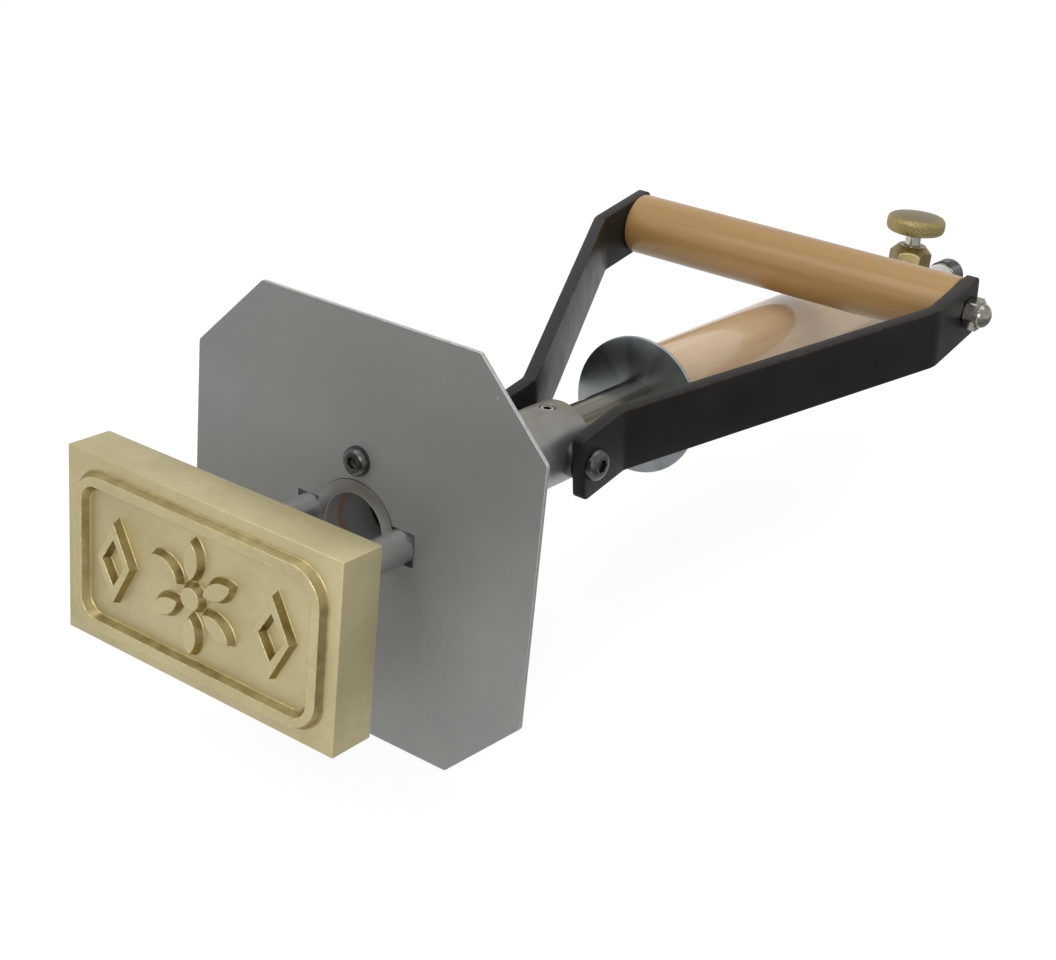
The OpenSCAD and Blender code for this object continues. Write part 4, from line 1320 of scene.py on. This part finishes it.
def tie_pieces(rod_material, nut_material):
    """Rod through the cross handle with threaded ends, and its two cap nuts."""
    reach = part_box("handle_tie_rod")[1].x
    root = TIE_R - TIE_THREAD_DEPTH
    thread = reach - TIE_THREAD_L

    def outline(angle):
        helix = thread_points(angle, TIE_R, root, TIE_PITCH, thread, reach - TIE_BEVEL)
        return [(0, 0), (TIE_SHANK_R, 0), (TIE_SHANK_R, thread), *helix, (root - TIE_BEVEL, reach),
                (0, reach)]
    sides = (Matrix(), Matrix.Rotation(pi, 4, "Z"))
    bm = bmesh.new()
    for side in sides:
        turn(bm, outline, side @ ALONG_X, 48)
    middle = [face for face in bm.faces if all(abs(vert.co.x) < MERGE for vert in face.verts)]
    bmesh.ops.delete(bm, geom=middle, context="FACES_ONLY")
    piece("tie_rod", "handle_tie_rod", "yoke", bm, [rod_material], AT_CROSS)
    dome_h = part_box("tie_nuts")[1].x - ARM_OUT_END - TIE_NUT_H
    turned("tie_nut_pair", "tie_nuts", "yoke",
           cap_nut_outline(TIE_NUT, TIE_NUT_H, TIE_DOME_R, dome_h), [nut_material], AT_CROSS,
           [side @ at(ARM_OUT_END, 0, 0) @ ALONG_X for side in sides], 144)


def dress_cad(node, material, bevel=0.0):
    """Gives a CAD node that stays as it is its finish, and softer edges where they show."""
    solid = frame["nodes"][node]
    solid.data.materials.clear()
    solid.data.materials.append(material)
    if bevel:
        solid.modifiers.new("weld", "WELD").merge_threshold = MERGE
        step = solid.modifiers.new("edges", "BEVEL")
        step.width = bevel
        step.segments = 2
        step.limit_method = "ANGLE"
        step.angle_limit = SHARP
        step.harden_normals = True


# Assembly

bpy.context.scene.view_settings.view_transform = "Standard"
add_camera()
add_world()
add_floor()
add_card()
add_lamps()

brass = die_brass()
# Edges of the die's raised pattern, brighter than its faces: bright from wear, with a painted highlight
brass_edge = cloudy("worn_lit_brass", (0.7, 4, 0.6), (0.35, (168, 156, 112)), (0.65, (196, 185, 141)),
                    (0.42, 0.28), Metallic=0.9)
# Sloping walls of the raised pattern, darker than the face as painted shade
brass_wall_shade = cloudy("wall_shade_brass", (0.2, 3, 0.5), (0.3, (142, 128, 86)), (0.7, (168, 154, 110)),
                    (0.3, 0.42), (1.8, 3, 0.6), 0.02, Metallic=1.0)
sheet = sheet_steel()
# Painted highlight on the bevelled edges and hole walls of the shield and its flange, brighter than their
# faces
sheet_edge = cloudy("bright_edge", (0.4, 4, 0.6), (0.35, (164, 164, 162)), (0.65, (184, 184, 182)),
                    (0.5, 0.36), Metallic=0.6)
holder = holder_steel()
# Turned steel, coloured dark as painted shade between the sleeve and the arms
spacer_shade = cloudy("shaded_spacer_steel", (0.3, 4, 0.6), (0.3, (60, 59, 58)), (0.7, (84, 82, 80)),
                (0.4, 0.5), Metallic=0.7)
rod = rod_steel()
oxide = cloudy("black_oxide", (0.6, 5, 0.6), (0.3, (64, 64, 66)), (0.7, (94, 93, 92)),
               (0.2, 0.3), (4, 2, 0.5), 0.008, Metallic=0.85)
zinc = zinc_plate("zinc_plate", (168, 172, 173), (128, 134, 137), 0.24)
zinc_disc = zinc_plate("zinc_disc", (148, 153, 154), (122, 128, 130), 0.36)
# Satin black coat with a fine orange peel and dusty patches
bar = cloudy("black_bar", (0.05, 5, 0.6), (0.3, (31, 30, 29)), (0.75, (43, 41, 39)),
             (0.34, 0.46), (1.4, 3, 0.5), 0.015, Specular_IOR_Level=0.12)
# Edges of the bars, where the coat is thin and brown shows through
bar_edge = cloudy("worn_black", (0.35, 5, 0.65), (0.35, (28, 26, 24)), (0.7, (62, 54, 46)),
                  (0.5, 0.4), Specular_IOR_Level=0.15)
cross_wood = beech("beech_cross", (174, 137, 82), (156, 119, 67), (120, 84, 48),
                   flecked=0.25, coat=0.35, coat_rough=0.2)
grip_wood = beech("beech_grip", (205, 177, 140), (186, 154, 114), (138, 100, 68),
                  flecked=0.35, coat=0.85, coat_rough=0.08)
valve = turned_brass()
dull = knob_brass()
bright = bright_steel("bright_steel", (200, 198, 192), (166, 164, 158))
nickel = bright_steel("nut_steel", (158, 155, 144), (104, 101, 92))
copper = cloudy("copper_pipe", (0.2, 4, 0.6), (0.3, (150, 92, 66)), (0.7, (196, 128, 96)),
                (0.25, 0.4), Metallic=1.0)
graphite = cloudy("graphite_packing", (2.0, 3, 0.6), (0.3, (38, 38, 40)), (0.7, (66, 66, 70)),
                  (0.6, 0.8), (2.0, 3, 0.6), 0.05)

branding_die([brass, brass_edge, brass_wall_shade])
die_rod("rod_left", "die_rod_left", rod)
die_rod("rod_right", "die_rod_right", rod)
shield_pieces([sheet, sheet_edge])
shield_screw_pair(oxide)
sleeve(holder, zinc)
tube(drawn_tube())
ring("guard", "guard_disc", zinc_disc, 0.6 * MM)
grip(grip_wood)
ring("grip_washer", "handle_washer", zinc_disc, 0.5 * MM)
grip_nut(zinc)
bonnet(bonnet_brass())
stem(bright)
knob(dull, oxide)
inlet([bright, oxide])
pivot_pieces(oxide, spacer_shade)
arm("arm_left", "yoke_arm_left", [bar, bar_edge], True)
arm("arm_right", "yoke_arm_right", [bar, bar_edge], False)
cross_grip(cross_wood)
tie_pieces(zinc, nickel)
dress_cad("tube_bush", valve, 0.4 * MM)
dress_cad("valve_body", valve, 0.4 * MM)
dress_cad("flame_head", holder, 0.3 * MM)
dress_cad("gas_jet", valve)
dress_cad("jet_spider", valve)
dress_cad("gas_pipe", copper)
dress_cad("gland_packing", graphite)
